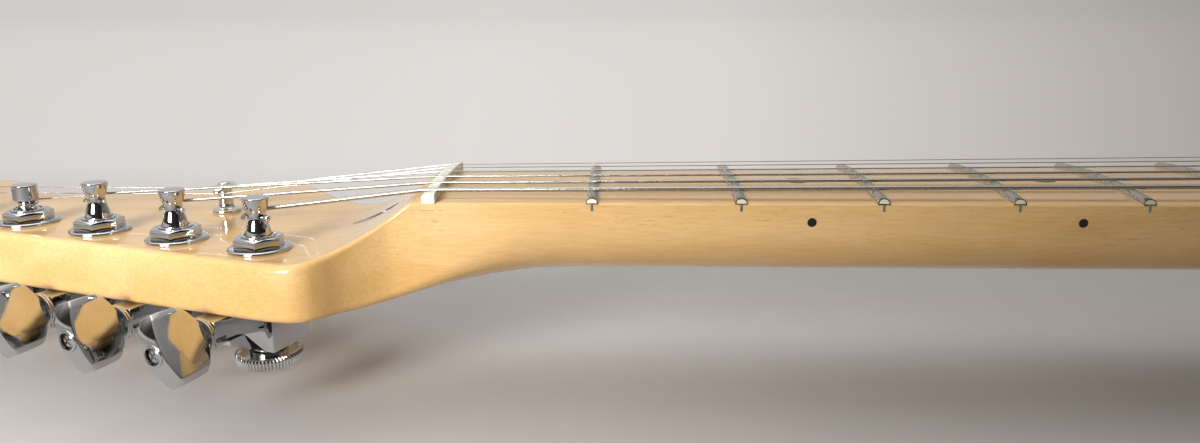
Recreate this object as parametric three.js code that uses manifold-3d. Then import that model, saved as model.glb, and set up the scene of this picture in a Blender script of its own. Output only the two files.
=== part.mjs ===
// Electric guitar neck with its tuners and strings: one-piece maple, bolt-on heel,
// six tuners in line, each with a worm drive and a thumb wheel that locks the string.
// Millimetres, +Z up. The origin is the centre of the heel's screw pattern, on the flat
// face that meets the guitar's body. +X runs from head to heel, +Y is the treble side.
import * as THREE from 'three';
import Module from 'manifold-3d';
import { ConvexGeometry } from 'three/addons/geometries/ConvexGeometry.js';
import { mergeVertices } from 'three/addons/utils/BufferGeometryUtils.js';

const wasm = await Module();
wasm.setup();

// Scale, board and shaft
const scaleLength = 648;
const fretCount = 22;
const nutWidth = 42;
const heelWidth = 56;
const boardRadius = 241;
const heelThickness = 25.4;
const firstFretThickness = 21;
const octaveThickness = 22.5;
const boardSideDepth = 4.6;
const boardEdgeRound = 0.8;
const backFullness = 2.15;

// Heel and its four screw holes
const heelLength = 76.2;
const heelEdgeRound = 1.6;
const heelTaperLength = 38;
const screwSpacingX = 50.8;
const screwSpacingY = 38.1;
const screwHoleWidth = 3.2;
const screwHoleDepth = 16;
const boardOverhang = 8.3;
const boardEndMargin = 8.84;
const tongueThickness = 6;

// Head
const headThickness = 13.8;
const headTipMargin = 25.83;
const headReach = 66;
const headEdgeRound = 2;
const shelfLength = 6.4;
const scoopLength = 26;
const throatLead = 20;
const throatLength = 50;
const outlineRunIn = 15;

// Nut and frets
const nutThickness = 3.2;
const nutRise = 2.3;
const nutSeatDepth = 1.7;
const nutGap = 0.1;
const nutSlotGap = 0.08;
const fretWidth = 2.7;
const fretHeight = 1.2;
const fretRoot = 0.8;
const fretBevel = 0.9;
const fretInset = 0.2;
const fretEndHeight = 0.15;

// Truss rod, its walnut plug and the walnut stripe in the back
const rodDiameter = 4.8;
const rodGap = 0.3;
const rodRiseLength = 70;
const rodEndMargin = 6;
const stripeWidth = 6.2;
const stripeDepth = 7;
const stripeStart = 14;
const stripeEnd = 398;
const stripeGap = 0.1;
const plugDiameter = 6.6;
const plugBoreWidth = 4.2;
const plugDrop = 7.5;
const plugReach = 1.5;
const plugGap = 0.15;

// Tuners: where they sit on the head
const tunerCount = 6;
const tallPostCount = 3;
const tunerPitch = 25.4;
const tunerLineAngle = THREE.MathUtils.degToRad(21);
const firstTunerBack = 41.6;
const firstTunerSide = 21.8;
const tunerEdgeMargin = 11.2;
const tunerHoleWidth = 10.4;

// Tuner washer and hex bushing
const washerWidth = 14.6;
const washerThickness = 0.9;
const washerGap = 0.3;
const bushingWidth = 9.8;
const bushingFlats = 10.4;
const bushingHexHeight = 2.5;
const bushingReach = 9.5;

// Tuner post with its gear
const postDiameter = 6.2;
const postGap = 0.35;
const tallPostHeight = 12.6;
const shortPostHeight = 10.2;
const tallWrapHeight = 9;
const shortWrapHeight = 5.5;
const postWaistWidth = 4.3;
const postWaistLength = 1.6;
const postTopRound = 0.4;
const postHubWidth = 5;
const stringHoleWidth = 1.7;
const stringHoleDrop = 1.1;
const stringHoleAngle = THREE.MathUtils.degToRad(-20);
const gearToothCount = 18;
const gearWidth = 7.2;
const gearToothHeight = 0.7;
const gearThickness = 2.6;

// Tuner housing
const housingLeft = 9.6;
const housingRight = 8.2;
const housingFront = 7.5;
const housingBack = 6;
const housingHeight = 8.2;
const housingWall = 1.1;
const housingDraft = 0.9;
const housingGap = 0.35;
const housingFlank = 2.5;
const hollowDepth = 2.3;
const armWidth = 6.8;
const armHeight = 5.8;
const armLength = 14.2;

// Tuner worm shaft, button and screw
const shaftOffset = 5.6;
const shaftDrop = 3.2;
const shaftDiameter = 3;
const shaftGap = 0.35;
const shaftJournalWidth = 2;
const shaftInnerReach = 4.4;
const meshGap = 0.3;
const wormLength = 7;
const wormRidgeCount = 3;
const wormRidgeHeight = 0.4;
const collarWidth = 8.2;
const collarThickness = 1.2;
const collarGap = 0.3;
const buttonLength = 12.8;
const buttonWidth = 16.8;
const buttonThickness = 5.8;
const buttonInnerSag = 3.3;
const buttonOuterSag = 2.4;
const buttonBoreGap = 0.25;
const buttonRecessWidth = 4.2;
const buttonRecessDepth = 2.2;
const screwHeadWidth = 3.5;
const screwHeadHeight = 1.3;
const screwShankWidth = 1.4;
const screwShankLength = 4;
const screwGap = 0.2;
const buttonTilts = [27, 19, 22, 12, 50, 35].map(THREE.MathUtils.degToRad);

// Tuner thumb wheel and the pin that clamps the string
const wheelWidth = 16;
const wheelThickness = 2.9;
const wheelDrop = 11;
const wheelEdgeRound = 0.4;
const wheelHubWidth = 9;
const wheelHubHeight = 2.4;
const wheelSocketFloor = 0.6;
const wheelGap = 0.35;
const lockPinWidth = 2.1;
const lockBoreWidth = 2.8;
const lockPinGap = 1.2;

// String tree
const treeBack = 65;
const treeBarWidth = 4.6;
const treeBarMargin = 2.2;
const treeBarThickness = 1.3;
const treeBaseWidth = 7.6;
const treeBaseThickness = 1;
const treeStemWidth = 4;
const treeStringHeight = 5.7;
const treeStringGap = 0.35;
const treeLipThickness = 0.7;
const treeLipDrop = 0.8;
const treeScrewWidth = 2;
const treeScrewLength = 7;
const treeScrewGap = 0.2;
const treeScrewHeadWidth = 3.8;
const treeScrewHeadHeight = 0.9;

// Strings, from the low E to the high E
const stringDiameters = [1.07, 0.81, 0.61, 0.41, 0.28, 0.23];
const nutStringSpan = 35.5;
const bridgeStringSpan = 53;
const stringNutHeight = 1.75;
const stringOctaveHeight = 3;
const stringOverhang = 14;
const stringWrapGap = 0.3;
const stringWrapEnd = THREE.MathUtils.degToRad(205);
const stringWrapSteps = 7;
const stringSides = 8;
const ballWidth = 3.8;
const ballLength = 3.4;

// The throat's outline on the bass side, in shares of headLength behind the nut and of
// headReach from the centre line
const throatShares = [
  [0.0215, -0.32], [0.0376, -0.324], [0.0591, -0.336], [0.078, -0.362], [0.0968, -0.398],
  [0.1145, -0.442], [0.1306, -0.495], [0.1452, -0.533], [0.1629, -0.55], [0.1828, -0.545],
  [0.207, -0.527],
];
// The outline round the tip and back along the treble side, in the same shares
const tipShares = [
  [0.921, 0.262], [0.965, 0.345], [0.992, 0.462], [1, 0.606], [0.996, 0.75],
  [0.972, 0.879], [0.93, 0.962], [0.879, 0.997], [0.829, 0.982], [0.785, 0.912],
  [0.75, 0.808], [0.718, 0.705], [0.677, 0.642], [0.624, 0.621], [0.559, 0.627],
  [0.495, 0.661], [0.43, 0.727], [0.371, 0.794], [0.331, 0.817], [0.293, 0.808],
  [0.265, 0.761], [0.243, 0.676], [0.222, 0.591], [0.195, 0.506], [0.156, 0.412],
  [0.113, 0.355], [0.065, 0.329],
];
// Stations along a button: shares of its width, of its thickness and of its length
const buttonShares = [[0.96, 0.92, 0], [1, 0.98, 0.3], [1, 1, 0.7], [0.98, 0.97, 1]];
// A quarter of a button's section: shares of half its thickness and half its width
const buttonCornerShares = [[0.98, 0], [1, 0.83], [0.74, 1]];
// A post above its bushing: shares of the way from waist to full width, and of the
// height from the bushing to the waist or from the waist to the top
const postFootShares = [[1, 0.12], [0.7, 0.45]];
const postCapShares = [[0.3, 0.22], [0.75, 0.65]];
const fretShoulderShare = 0.85;
const tipSpanShare = 0.2;
const waistSpanShare = 0.36;
const firstStationShare = 0.06;

// Fineness
const weldDistance = 1e-4;
const shortestEdge = 0.004;
const overrun = 1;
const roundSides = 16;
const smallRoundSides = 10;
const boreSides = 8;
const outlineSamples = 420;
const topColumns = 8;
const backColumns = 12;

// Places worked out from the sizes above
const quarterTurn = Math.PI / 2;
const fullTurn = Math.PI * 2;
const semitones = 12;
const fretRun = (number) => scaleLength * (1 - 2 ** (-number / semitones));
const heelEndX = heelLength / 2;
const boardEndX = heelEndX + boardOverhang;
const nutFaceX = boardEndX - boardEndMargin - fretRun(fretCount);
const nutBackX = nutFaceX - nutThickness;
const heelStartX = -heelLength / 2;
const taperStartX = heelStartX - heelTaperLength;
const tunerLine = (tunerCount - 1) * tunerPitch * Math.cos(tunerLineAngle);
const headLength = firstTunerBack + tunerLine + headTipMargin;
const tipX = nutFaceX - headLength;
const shelfEndX = nutFaceX - shelfLength;
const scoopEndX = shelfEndX - scoopLength;
const throatStartX = nutFaceX - throatLead;
const throatEndX = throatStartX + throatLength;
const stripeStartX = nutFaceX + stripeStart;
const stripeEndX = nutFaceX + stripeEnd;
const plugHeight = heelThickness - plugDrop;
const plugEndX = nutFaceX + plugReach;
const rodStartX = plugEndX + rodGap;
const rodEndX = stripeEndX - rodEndMargin;
const postFootHeight = washerThickness + bushingHexHeight;
const backZ = -headThickness;
const shaftZ = backZ - shaftDrop;
const wormRadius = shaftOffset - gearWidth / 2 - meshGap;
const buttonStart = armLength + collarGap + collarThickness + collarGap;
const buttonEnd = buttonStart + buttonLength;
const recessFloor = buttonEnd - buttonRecessDepth;
const shaftEnd = recessFloor - screwGap;

const clamp01 = (value) => Math.min(1, Math.max(0, value));
const smooth = (value) => clamp01(value) ** 2 * (3 - 2 * clamp01(value));
const mix = (a, b, share) => a + (b - a) * share;
const circleDrop = (radius, across) => radius - Math.sqrt(radius ** 2 - across ** 2);
const roundDrop = (distance, radius) => (
  distance < radius ? circleDrop(radius, radius - distance) : 0
);
const point = (x, y, z) => new THREE.Vector3(x, y, z);

// The neck's shape

const fretX = (number) => nutFaceX + fretRun(number);

function halfWidth(x) {
  const share = (x - nutFaceX) / (heelEndX - nutFaceX);
  return mix(nutWidth, heelWidth, Math.max(0, share)) / 2;
}

const boardHeight = (y) => heelThickness - circleDrop(boardRadius, y);

function backHeight(x) {
  const share = (x - fretX(1)) / (fretX(semitones) - fretX(1));
  return heelThickness - mix(firstFretThickness, octaveThickness, share);
}

function tunerPlace(index) {
  const run = index * tunerPitch;
  return new THREE.Vector2(
    nutFaceX - firstTunerBack - run * Math.cos(tunerLineAngle),
    -firstTunerSide + run * Math.sin(tunerLineAngle),
  );
}

// The head's outline, from the neck's bass edge in front of the nut round the tip and back
// to the treble edge.
function headOutline() {
  const outward = new THREE.Vector2(-Math.sin(tunerLineAngle), -Math.cos(tunerLineAngle));
  const place = ([back, side]) => (
    new THREE.Vector2(nutFaceX - back * headLength, side * headReach)
  );
  const runIn = (side) => [outlineRunIn * 2, outlineRunIn, 0].map((lead) => (
    new THREE.Vector2(nutFaceX + lead, side * halfWidth(nutFaceX + lead))
  ));
  const corners = runIn(-1);
  throatShares.forEach((pair) => corners.push(place(pair)));
  for (let index = 0; index < tunerCount; index += 1) {
    corners.push(tunerPlace(index).addScaledVector(outward, tunerEdgeMargin));
  }
  tipShares.forEach((pair) => corners.push(place(pair)));
  corners.push(...runIn(1).reverse());
  return new THREE.SplineCurve(corners).getPoints(outlineSamples);
}

const outline = headOutline();
const outlineTip = outline.reduce((best, spot, i) => (spot.x < outline[best].x ? i : best), 0);

// The neck's edge at one place along it, on the bass side (-1) or the treble side (1).
function edgeY(x, side) {
  if (x >= nutFaceX) {
    return side * halfWidth(x);
  }
  for (let i = outlineTip; outline[i + side]; i += side) {
    const a = outline[i];
    const b = outline[i + side];
    if (a.x <= x && b.x > x) {
      return mix(a.y, b.y, (x - a.x) / (b.x - a.x));
    }
  }
  return side * halfWidth(nutFaceX);
}

// Distance in plan from a point on the neck to its edge.
function edgeDistance(x, y) {
  let nearest = x < nutFaceX ? Infinity : halfWidth(x) - Math.abs(y);
  if (x > throatEndX) {
    return Math.max(0, nearest);
  }
  for (let i = 0; i + 1 < outline.length; i += 1) {
    const a = outline[i];
    const b = outline[i + 1];
    const run = (b.x - a.x) ** 2 + (b.y - a.y) ** 2;
    const share = clamp01(((x - a.x) * (b.x - a.x) + (y - a.y) * (b.y - a.y)) / run);
    nearest = Math.min(nearest, Math.hypot(x - mix(a.x, b.x, share), y - mix(a.y, b.y, share)));
  }
  return Math.max(0, nearest);
}

// The top: the cambered board, the shelf behind the nut, the scoop and the head's face.
function topHeight(x, y, distance) {
  const fall = clamp01((shelfEndX - x) / scoopLength);
  const surface = mix(headThickness, boardHeight(y), (1 - fall) ** 2);
  return surface - roundDrop(distance, mix(boardEdgeRound, headEdgeRound, smooth(fall)));
}

// The underside: the head's flat back, the rounded shaft and the heel's flat block.
function bottomHeight(x, y, distance) {
  const half = halfWidth(x);
  const shoulder = boardHeight(half) - boardSideDepth;
  const edge = Math.abs(edgeY(x, y < 0 ? -1 : 1));
  const across = Math.min(1, Math.abs(y) / edge);
  const depth = (shoulder - backHeight(x)) * Math.sqrt(1 - across ** backFullness);
  const head = 1 - smooth((x - throatStartX) / throatLength);
  const heel = smooth((x - taperStartX) / heelTaperLength);
  const shaft = mix(shoulder - depth, roundDrop(distance, headEdgeRound), head);
  return mix(shaft, roundDrop(distance, heelEdgeRound), heel);
}

function neckStations() {
  const places = [];
  const span = (from, to, steps, ease = (share) => share) => {
    for (let i = 0; i < steps; i += 1) {
      places.push(mix(from, to, ease(i / steps)));
    }
  };
  const tipEndX = tipX + headLength * tipSpanShare;
  const waistX = nutFaceX - headLength * waistSpanShare;
  const closing = (share) => 1 - Math.cos(mix(firstStationShare, 1, share) * quarterTurn);
  span(tipX, tipEndX, 8, closing);
  span(tipEndX, waistX, 7);
  span(waistX, scoopEndX, 8);
  span(scoopEndX, shelfEndX, 7);
  span(shelfEndX, throatEndX, 6);
  span(throatEndX, taperStartX, 5);
  span(taperStartX, heelStartX, 5);
  span(heelStartX, boardEndX, 2);
  places.push(boardEndX);
  return places;
}

// Ways to make a body

// Only positions, with shared corners merged, the shortest edges and the faces on them
// closed up, and the faces turned out.
function welded(geometry) {
  const bare = geometry.clone();
  bare.deleteAttribute('normal');
  bare.deleteAttribute('uv');
  const body = mergeVertices(bare, weldDistance);
  const order = body.index.array;
  const corners = Array.from({ length: body.attributes.position.count }, (_, i) => (
    new THREE.Vector3().fromBufferAttribute(body.attributes.position, i)
  ));
  const merged = corners.map((_, i) => i);
  const kept = (i) => (merged[i] === i ? i : kept(merged[i]));
  order.forEach((a, i) => {
    const b = order[i % 3 === 2 ? i - 2 : i + 1];
    if (corners[a].distanceTo(corners[b]) < shortestEdge) {
      merged[Math.max(kept(a), kept(b))] = Math.min(kept(a), kept(b));
    }
  });
  const faces = [];
  let volume = 0;
  for (let i = 0; i < order.length; i += 3) {
    const [a, b, c] = [kept(order[i]), kept(order[i + 1]), kept(order[i + 2])];
    if (a !== b && b !== c && c !== a) {
      faces.push(a, b, c);
      volume += corners[a].dot(new THREE.Vector3().crossVectors(corners[b], corners[c]));
    }
  }
  body.setIndex(volume < 0 ? faces.reverse() : faces);
  return body;
}

function solid(geometry) {
  const body = welded(geometry);
  return new wasm.Manifold(new wasm.Mesh({
    numProp: 3,
    vertProperties: new Float32Array(body.attributes.position.array),
    triVerts: new Uint32Array(body.index.array),
  }));
}

function geometryOf(body) {
  const mesh = body.getMesh();
  const geometry = new THREE.BufferGeometry();
  geometry.setAttribute('position', new THREE.Float32BufferAttribute(mesh.vertProperties, 3));
  geometry.setIndex([...mesh.triVerts]);
  return welded(geometry);
}

// One body with others joined to it, and then others cut from it.
function combined(base, joined, cut = []) {
  let body = solid(base);
  joined.forEach((piece) => {
    body = body.add(solid(piece));
  });
  cut.forEach((piece) => {
    body = body.subtract(solid(piece));
  });
  return geometryOf(body);
}

// A body through rings of points, with a fan over each end.
function loft(rings) {
  const count = rings[0].length;
  const last = (rings.length - 1) * count;
  const faces = [];
  for (let i = 0; i < last; i += count) {
    for (let j = 0; j < count; j += 1) {
      const next = (j + 1) % count;
      faces.push(i + j, i + count + j, i + count + next, i + j, i + count + next, i + next);
    }
  }
  for (let j = 1; j + 1 < count; j += 1) {
    faces.push(0, j, j + 1, last, last + j + 1, last + j);
  }
  const spots = rings.flat().flatMap((spot) => [spot.x, spot.y, spot.z]);
  const geometry = new THREE.BufferGeometry();
  geometry.setAttribute('position', new THREE.Float32BufferAttribute(spots, 3));
  geometry.setIndex(faces);
  return welded(geometry);
}

function block(low, high) {
  const size = new THREE.Vector3().subVectors(high, low);
  const middle = new THREE.Vector3().addVectors(low, high).multiplyScalar(0.5);
  return new THREE.BoxGeometry(size.x, size.y, size.z).translate(middle.x, middle.y, middle.z);
}

// A round bar along Z between two heights.
function rod(width, from, to, sides = roundSides) {
  return new THREE.CylinderGeometry(width / 2, width / 2, to - from, sides)
    .rotateX(quarterTurn)
    .translate(0, 0, (from + to) / 2);
}

// A body turned about Z, from pairs of width and height that meet the axis or each other.
function turned(pairs, sides = roundSides) {
  const profile = pairs.map(([width, height]) => new THREE.Vector2(width / 2, height));
  return welded(new THREE.LatheGeometry(profile, sides).rotateX(quarterTurn));
}

// A route that runs straight between its points, with a ring of the tube at each.
class Route extends THREE.Curve {
  constructor(points) {
    super();
    this.points = points;
  }

  getPoint(t, target = new THREE.Vector3()) {
    const place = t * (this.points.length - 1);
    const i = Math.min(Math.floor(place), this.points.length - 2);
    return target.lerpVectors(this.points[i], this.points[i + 1], place - i);
  }

  getUtoTmapping(u) {
    return u;
  }
}

function tube(points, diameter, sides) {
  const corners = [];
  for (let i = 0; i < sides; i += 1) {
    const angle = i * fullTurn / sides;
    corners.push(new THREE.Vector2(Math.cos(angle), Math.sin(angle)).multiplyScalar(diameter / 2));
  }
  return new THREE.ExtrudeGeometry(new THREE.Shape(corners), {
    steps: points.length - 1,
    extrudePath: new Route(points),
    bevelEnabled: false,
  });
}

const finishes = {
  maple: new THREE.MeshStandardMaterial({ color: 0xdba75e, roughness: 0.22, metalness: 0 }),
  walnut: new THREE.MeshStandardMaterial({ color: 0x5d3522, roughness: 0.35, metalness: 0 }),
  bone: new THREE.MeshStandardMaterial({ color: 0xe3e6d0, roughness: 0.4, metalness: 0 }),
  steel: new THREE.MeshStandardMaterial({ color: 0x9c9a96, roughness: 0.4, metalness: 1 }),
  chrome: new THREE.MeshStandardMaterial({ color: 0xc9cbd0, roughness: 0.08, metalness: 1 }),
  nickel: new THREE.MeshStandardMaterial({ color: 0xd2cfc8, roughness: 0.25, metalness: 1 }),
};

const part = new THREE.Group();

function add(name, geometry, finish, parent = part) {
  const mesh = new THREE.Mesh(geometry, finishes[finish]);
  mesh.name = name;
  parent.add(mesh);
}

// Neck

function neckBlank() {
  const across = (x, columns, height) => Array.from({ length: columns + 1 }, (_, j) => {
    const share = (1 - Math.cos(Math.PI * j / columns)) / 2;
    const y = mix(edgeY(x, -1), edgeY(x, 1), share);
    const distance = j % columns === 0 ? 0 : edgeDistance(x, y);
    return point(x, y, height(x, y, distance));
  });
  return loft(neckStations().map((x) => [
    ...across(x, topColumns, topHeight),
    ...across(x, backColumns, bottomHeight).reverse(),
  ]));
}

// A crowned bar pressed into the board, following its camber and bevelled at both ends.
function fret(number) {
  const x = fretX(number);
  const half = halfWidth(x) - fretInset;
  const flat = half - fretBevel;
  return loft([-half, -flat, 0, flat, half].map((y) => {
    const surface = boardHeight(y);
    const crown = Math.abs(y) === half ? fretEndHeight : fretHeight;
    return [
      point(x - fretWidth / 2, y, surface - fretRoot),
      point(x + fretWidth / 2, y, surface - fretRoot),
      point(x + fretWidth / 4, y, surface + crown * fretShoulderShare),
      point(x, y, surface + crown),
      point(x - fretWidth / 4, y, surface + crown * fretShoulderShare),
    ];
  }));
}

const stripeTop = (x) => backHeight(x) + stripeDepth;

// Height of the truss rod's middle: just over the stripe, rising to the plug at the nut.
function rodHeight(x) {
  const resting = stripeTop(x) + stripeGap + rodGap + rodDiameter / 2;
  return mix(plugHeight, resting, smooth((x - rodStartX) / rodRiseLength));
}

function placesAlong(from, to, steps) {
  return Array.from({ length: steps + 1 }, (_, i) => mix(from, to, i / steps));
}

// A four-sided channel along X between two heights that may change on the way.
function channel(places, width, low, high) {
  return loft(places.map((x) => [
    point(x, -width / 2, low(x)),
    point(x, width / 2, low(x)),
    point(x, width / 2, high(x)),
    point(x, -width / 2, high(x)),
  ]));
}

function rodChannel() {
  const reach = rodDiameter / 2 + rodGap;
  return channel(
    placesAlong(nutFaceX, rodEndX + rodGap, 12),
    reach * 2,
    (x) => rodHeight(x) - reach - overrun,
    (x) => rodHeight(x) + reach,
  );
}

function stripeChannel() {
  return channel(
    placesAlong(stripeStartX - stripeGap, stripeEndX + stripeGap, 8),
    stripeWidth + stripeGap * 2,
    () => -overrun,
    (x) => stripeTop(x) + stripeGap,
  );
}

function alongX(geometry, y, z) {
  return geometry.rotateY(quarterTurn).translate(0, y, z);
}

function neck() {
  const cuts = [];
  for (let index = 0; index < tunerCount; index += 1) {
    const { x, y } = tunerPlace(index);
    cuts.push(rod(tunerHoleWidth, -overrun, headThickness + overrun).translate(x, y, 0));
  }
  const edge = boardHeight(halfWidth(nutFaceX));
  cuts.push(block(
    point(nutBackX - nutGap, -nutWidth, edge - nutSeatDepth),
    point(nutFaceX + nutGap, nutWidth, heelThickness + overrun),
  ));
  const tongueBottom = boardHeight(halfWidth(heelEndX)) - tongueThickness;
  cuts.push(block(
    point(heelEndX, -heelWidth, -overrun),
    point(boardEndX + overrun, heelWidth, tongueBottom),
  ));
  [-1, 1].forEach((along) => [-1, 1].forEach((across) => {
    const hole = rod(screwHoleWidth, -overrun, screwHoleDepth, smallRoundSides);
    cuts.push(hole.translate(along * screwSpacingX / 2, across * screwSpacingY / 2, 0));
  }));
  cuts.push(stripeChannel(), rodChannel());
  const plugHole = rod(plugDiameter + plugGap * 2, scoopEndX, plugEndX + plugGap);
  cuts.push(alongX(plugHole, 0, plugHeight));
  const treeHole = rod(
    treeScrewWidth + treeScrewGap * 2,
    headThickness - treeScrewLength - treeScrewGap,
    headThickness + overrun,
    smallRoundSides,
  );
  cuts.push(treeHole.translate(nutFaceX - treeBack, treeSide(), 0));
  const frets = Array.from({ length: fretCount }, (_, i) => fret(i + 1));
  return combined(neckBlank(), frets, cuts);
}

// The walnut plug round the truss rod's key hole, cut flush with the scoop.
function plug() {
  const dowel = alongX(rod(plugDiameter, scoopEndX, plugEndX), 0, plugHeight);
  const bore = alongX(
    rod(plugBoreWidth, scoopEndX - overrun, plugEndX + overrun, smallRoundSides),
    0,
    plugHeight,
  );
  return geometryOf(solid(dowel).intersect(solid(neckBlank())).subtract(solid(bore)));
}

function stripe() {
  return loft(placesAlong(stripeStartX, stripeEndX, 16).map((x) => {
    const low = (y) => point(x, y, bottomHeight(x, y, edgeDistance(x, y)));
    return [
      low(-stripeWidth / 2),
      low(0),
      low(stripeWidth / 2),
      point(x, stripeWidth / 2, stripeTop(x)),
      point(x, -stripeWidth / 2, stripeTop(x)),
    ];
  }));
}

function trussRod() {
  const route = placesAlong(rodStartX, rodEndX, 12).map((x) => point(x, 0, rodHeight(x)));
  return tube(route, rodDiameter, stringSides);
}

// Strings: their places at the nut, over the board and on the posts

const nutStringY = (index) => nutStringSpan * (index / (tunerCount - 1) - 1 / 2);
const bridgeStringY = (index) => bridgeStringSpan * (index / (tunerCount - 1) - 1 / 2);

// The middle of a string over the board.
function stringPoint(index, x) {
  const y = mix(nutStringY(index), bridgeStringY(index), (x - nutFaceX) / scaleLength);
  const octave = (x - nutFaceX) / (fretX(semitones) - nutFaceX);
  const under = boardHeight(nutStringY(index)) + mix(stringNutHeight, stringOctaveHeight, octave);
  return point(x, y, under + stringDiameters[index] / 2);
}

const wrapHeight = (index) => (index < tallPostCount ? tallWrapHeight : shortWrapHeight);
const wrapRadius = (index) => (postWaistWidth + stringDiameters[index]) / 2 + stringWrapGap;

// Where a string first meets its post, on the post's treble side, as an angle about it.
function wrapStart(index, from) {
  const away = new THREE.Vector2(from.x, from.y).sub(tunerPlace(index));
  return away.angle() + Math.acos(wrapRadius(index) / away.length());
}

function wrapPoint(index, angle, share) {
  const post = tunerPlace(index);
  const radius = wrapRadius(index);
  const height = headThickness + wrapHeight(index) - share * stringHoleDrop;
  return point(post.x + radius * Math.cos(angle), post.y + radius * Math.sin(angle), height);
}

// Where the two thinnest strings pass under the string tree.
function treePoint(index) {
  const x = nutFaceX - treeBack;
  const nut = stringPoint(index, nutBackX);
  const post = wrapPoint(index, wrapStart(index, nut), 0);
  const y = mix(nut.y, post.y, (x - nut.x) / (post.x - nut.x));
  return point(x, y, headThickness + treeStringHeight);
}

const treeStrings = [tunerCount - 2, tunerCount - 1];

function treeSide() {
  return (treePoint(treeStrings[0]).y + treePoint(treeStrings[1]).y) / 2;
}

// A string's route from its ball end over the nut to its post and half round it.
function stringRoute(index) {
  const route = [
    stringPoint(index, boardEndX + stringOverhang),
    stringPoint(index, nutFaceX),
    stringPoint(index, nutBackX),
  ];
  if (treeStrings.includes(index)) {
    route.push(treePoint(index));
  }
  const start = wrapStart(index, route[route.length - 1]);
  for (let i = 0; i <= stringWrapSteps; i += 1) {
    const share = i / stringWrapSteps;
    route.push(wrapPoint(index, mix(start, stringWrapEnd, share), share));
  }
  return route;
}

function string(index) {
  const route = stringRoute(index);
  const ball = rod(ballWidth, -ballLength / 2, ballLength / 2, smallRoundSides)
    .rotateX(quarterTurn)
    .translate(route[0].x, route[0].y, route[0].z);
  return combined(tube(route, stringDiameters[index], stringSides), [ball]);
}

// Nut: a crowned bar with a slot for each string

function nut() {
  const half = halfWidth(nutFaceX) - nutGap;
  const floor = boardHeight(halfWidth(nutFaceX)) - nutSeatDepth + nutGap;
  const corners = [new THREE.Vector2(-half, floor), new THREE.Vector2(half, floor)];
  const crown = (y) => new THREE.Vector2(y, boardHeight(y) + nutRise);
  corners.push(crown(half));
  for (let index = tunerCount - 1; index >= 0; index -= 1) {
    const y = nutStringY(index);
    const reach = stringDiameters[index] / 2 + nutSlotGap;
    const bottom = boardHeight(y) + stringNutHeight - nutSlotGap;
    corners.push(
      crown(y + reach),
      new THREE.Vector2(y + reach, bottom),
      new THREE.Vector2(y - reach, bottom),
      crown(y - reach),
    );
  }
  corners.push(crown(-half));
  return new THREE.ExtrudeGeometry(new THREE.Shape(corners), {
    depth: nutThickness,
    bevelEnabled: false,
  })
    .rotateX(quarterTurn)
    .rotateZ(quarterTurn)
    .translate(nutBackX, 0, 0);
}

// String tree: a base, a stem and a bar that holds two strings down, with its screw

function stringTree() {
  const reach = (treePoint(treeStrings[1]).y - treePoint(treeStrings[0]).y) / 2 + treeBarMargin;
  const thickest = stringDiameters[treeStrings[0]] / 2;
  const barBottom = treeStringHeight + thickest + treeStringGap;
  const barTop = barBottom + treeBarThickness;
  const bar = block(
    point(-treeBarWidth / 2, -reach, barBottom),
    point(treeBarWidth / 2, reach, barTop),
  );
  const joined = [
    rod(treeBaseWidth, 0, treeBaseThickness),
    rod(treeStemWidth, treeBaseThickness / 2, barBottom + treeBarThickness / 2, smallRoundSides),
    rod(treeScrewWidth, -treeScrewLength, treeBaseThickness, smallRoundSides),
    turned([
      [0, barTop - treeBarThickness / 2],
      [treeScrewHeadWidth, barTop - treeBarThickness / 2],
      [treeScrewHeadWidth, barTop + treeScrewHeadHeight / 2],
      [treeScrewHeadWidth / 2, barTop + treeScrewHeadHeight],
      [0, barTop + treeScrewHeadHeight],
    ], smallRoundSides),
  ];
  [-1, 1].forEach((side) => {
    const outer = side * reach;
    const inner = side * (reach - treeLipThickness);
    joined.push(block(
      point(-treeBarWidth / 2, Math.min(inner, outer), barBottom - treeLipDrop),
      point(treeBarWidth / 2, Math.max(inner, outer), barBottom + treeBarThickness / 2),
    ));
  });
  return combined(bar, joined).translate(nutFaceX - treeBack, treeSide(), headThickness);
}

// Tuner pieces, about the post's axis, with Z = 0 on the head's face and the button
// along -Y

function washer() {
  const inner = bushingWidth + washerGap * 2;
  return turned([
    [inner, 0],
    [washerWidth, 0],
    [washerWidth, washerThickness],
    [inner, washerThickness],
    [inner, 0],
  ]);
}

function bushing() {
  const corners = bushingFlats / Math.cos(Math.PI / 6);
  const hex = rod(corners, washerThickness, postFootHeight, 6);
  const sleeve = rod(bushingWidth, -bushingReach, postFootHeight - bushingHexHeight / 2);
  const bore = rod(
    postDiameter + postGap * 2,
    -bushingReach - overrun,
    postFootHeight + overrun,
    smallRoundSides,
  );
  return combined(hex, [sleeve], [bore]);
}

// The gear at the post's foot, a plate with pointed teeth.
function gear() {
  const corners = [];
  for (let i = 0; i < gearToothCount * 2; i += 1) {
    const angle = i * fullTurn / gearToothCount / 2;
    const radius = gearWidth / 2 - (i % 2) * gearToothHeight;
    corners.push(new THREE.Vector2(Math.cos(angle), Math.sin(angle)).multiplyScalar(radius));
  }
  return new THREE.ExtrudeGeometry(new THREE.Shape(corners), {
    depth: gearThickness,
    bevelEnabled: false,
  }).translate(0, 0, shaftZ - gearThickness / 2);
}

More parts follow.
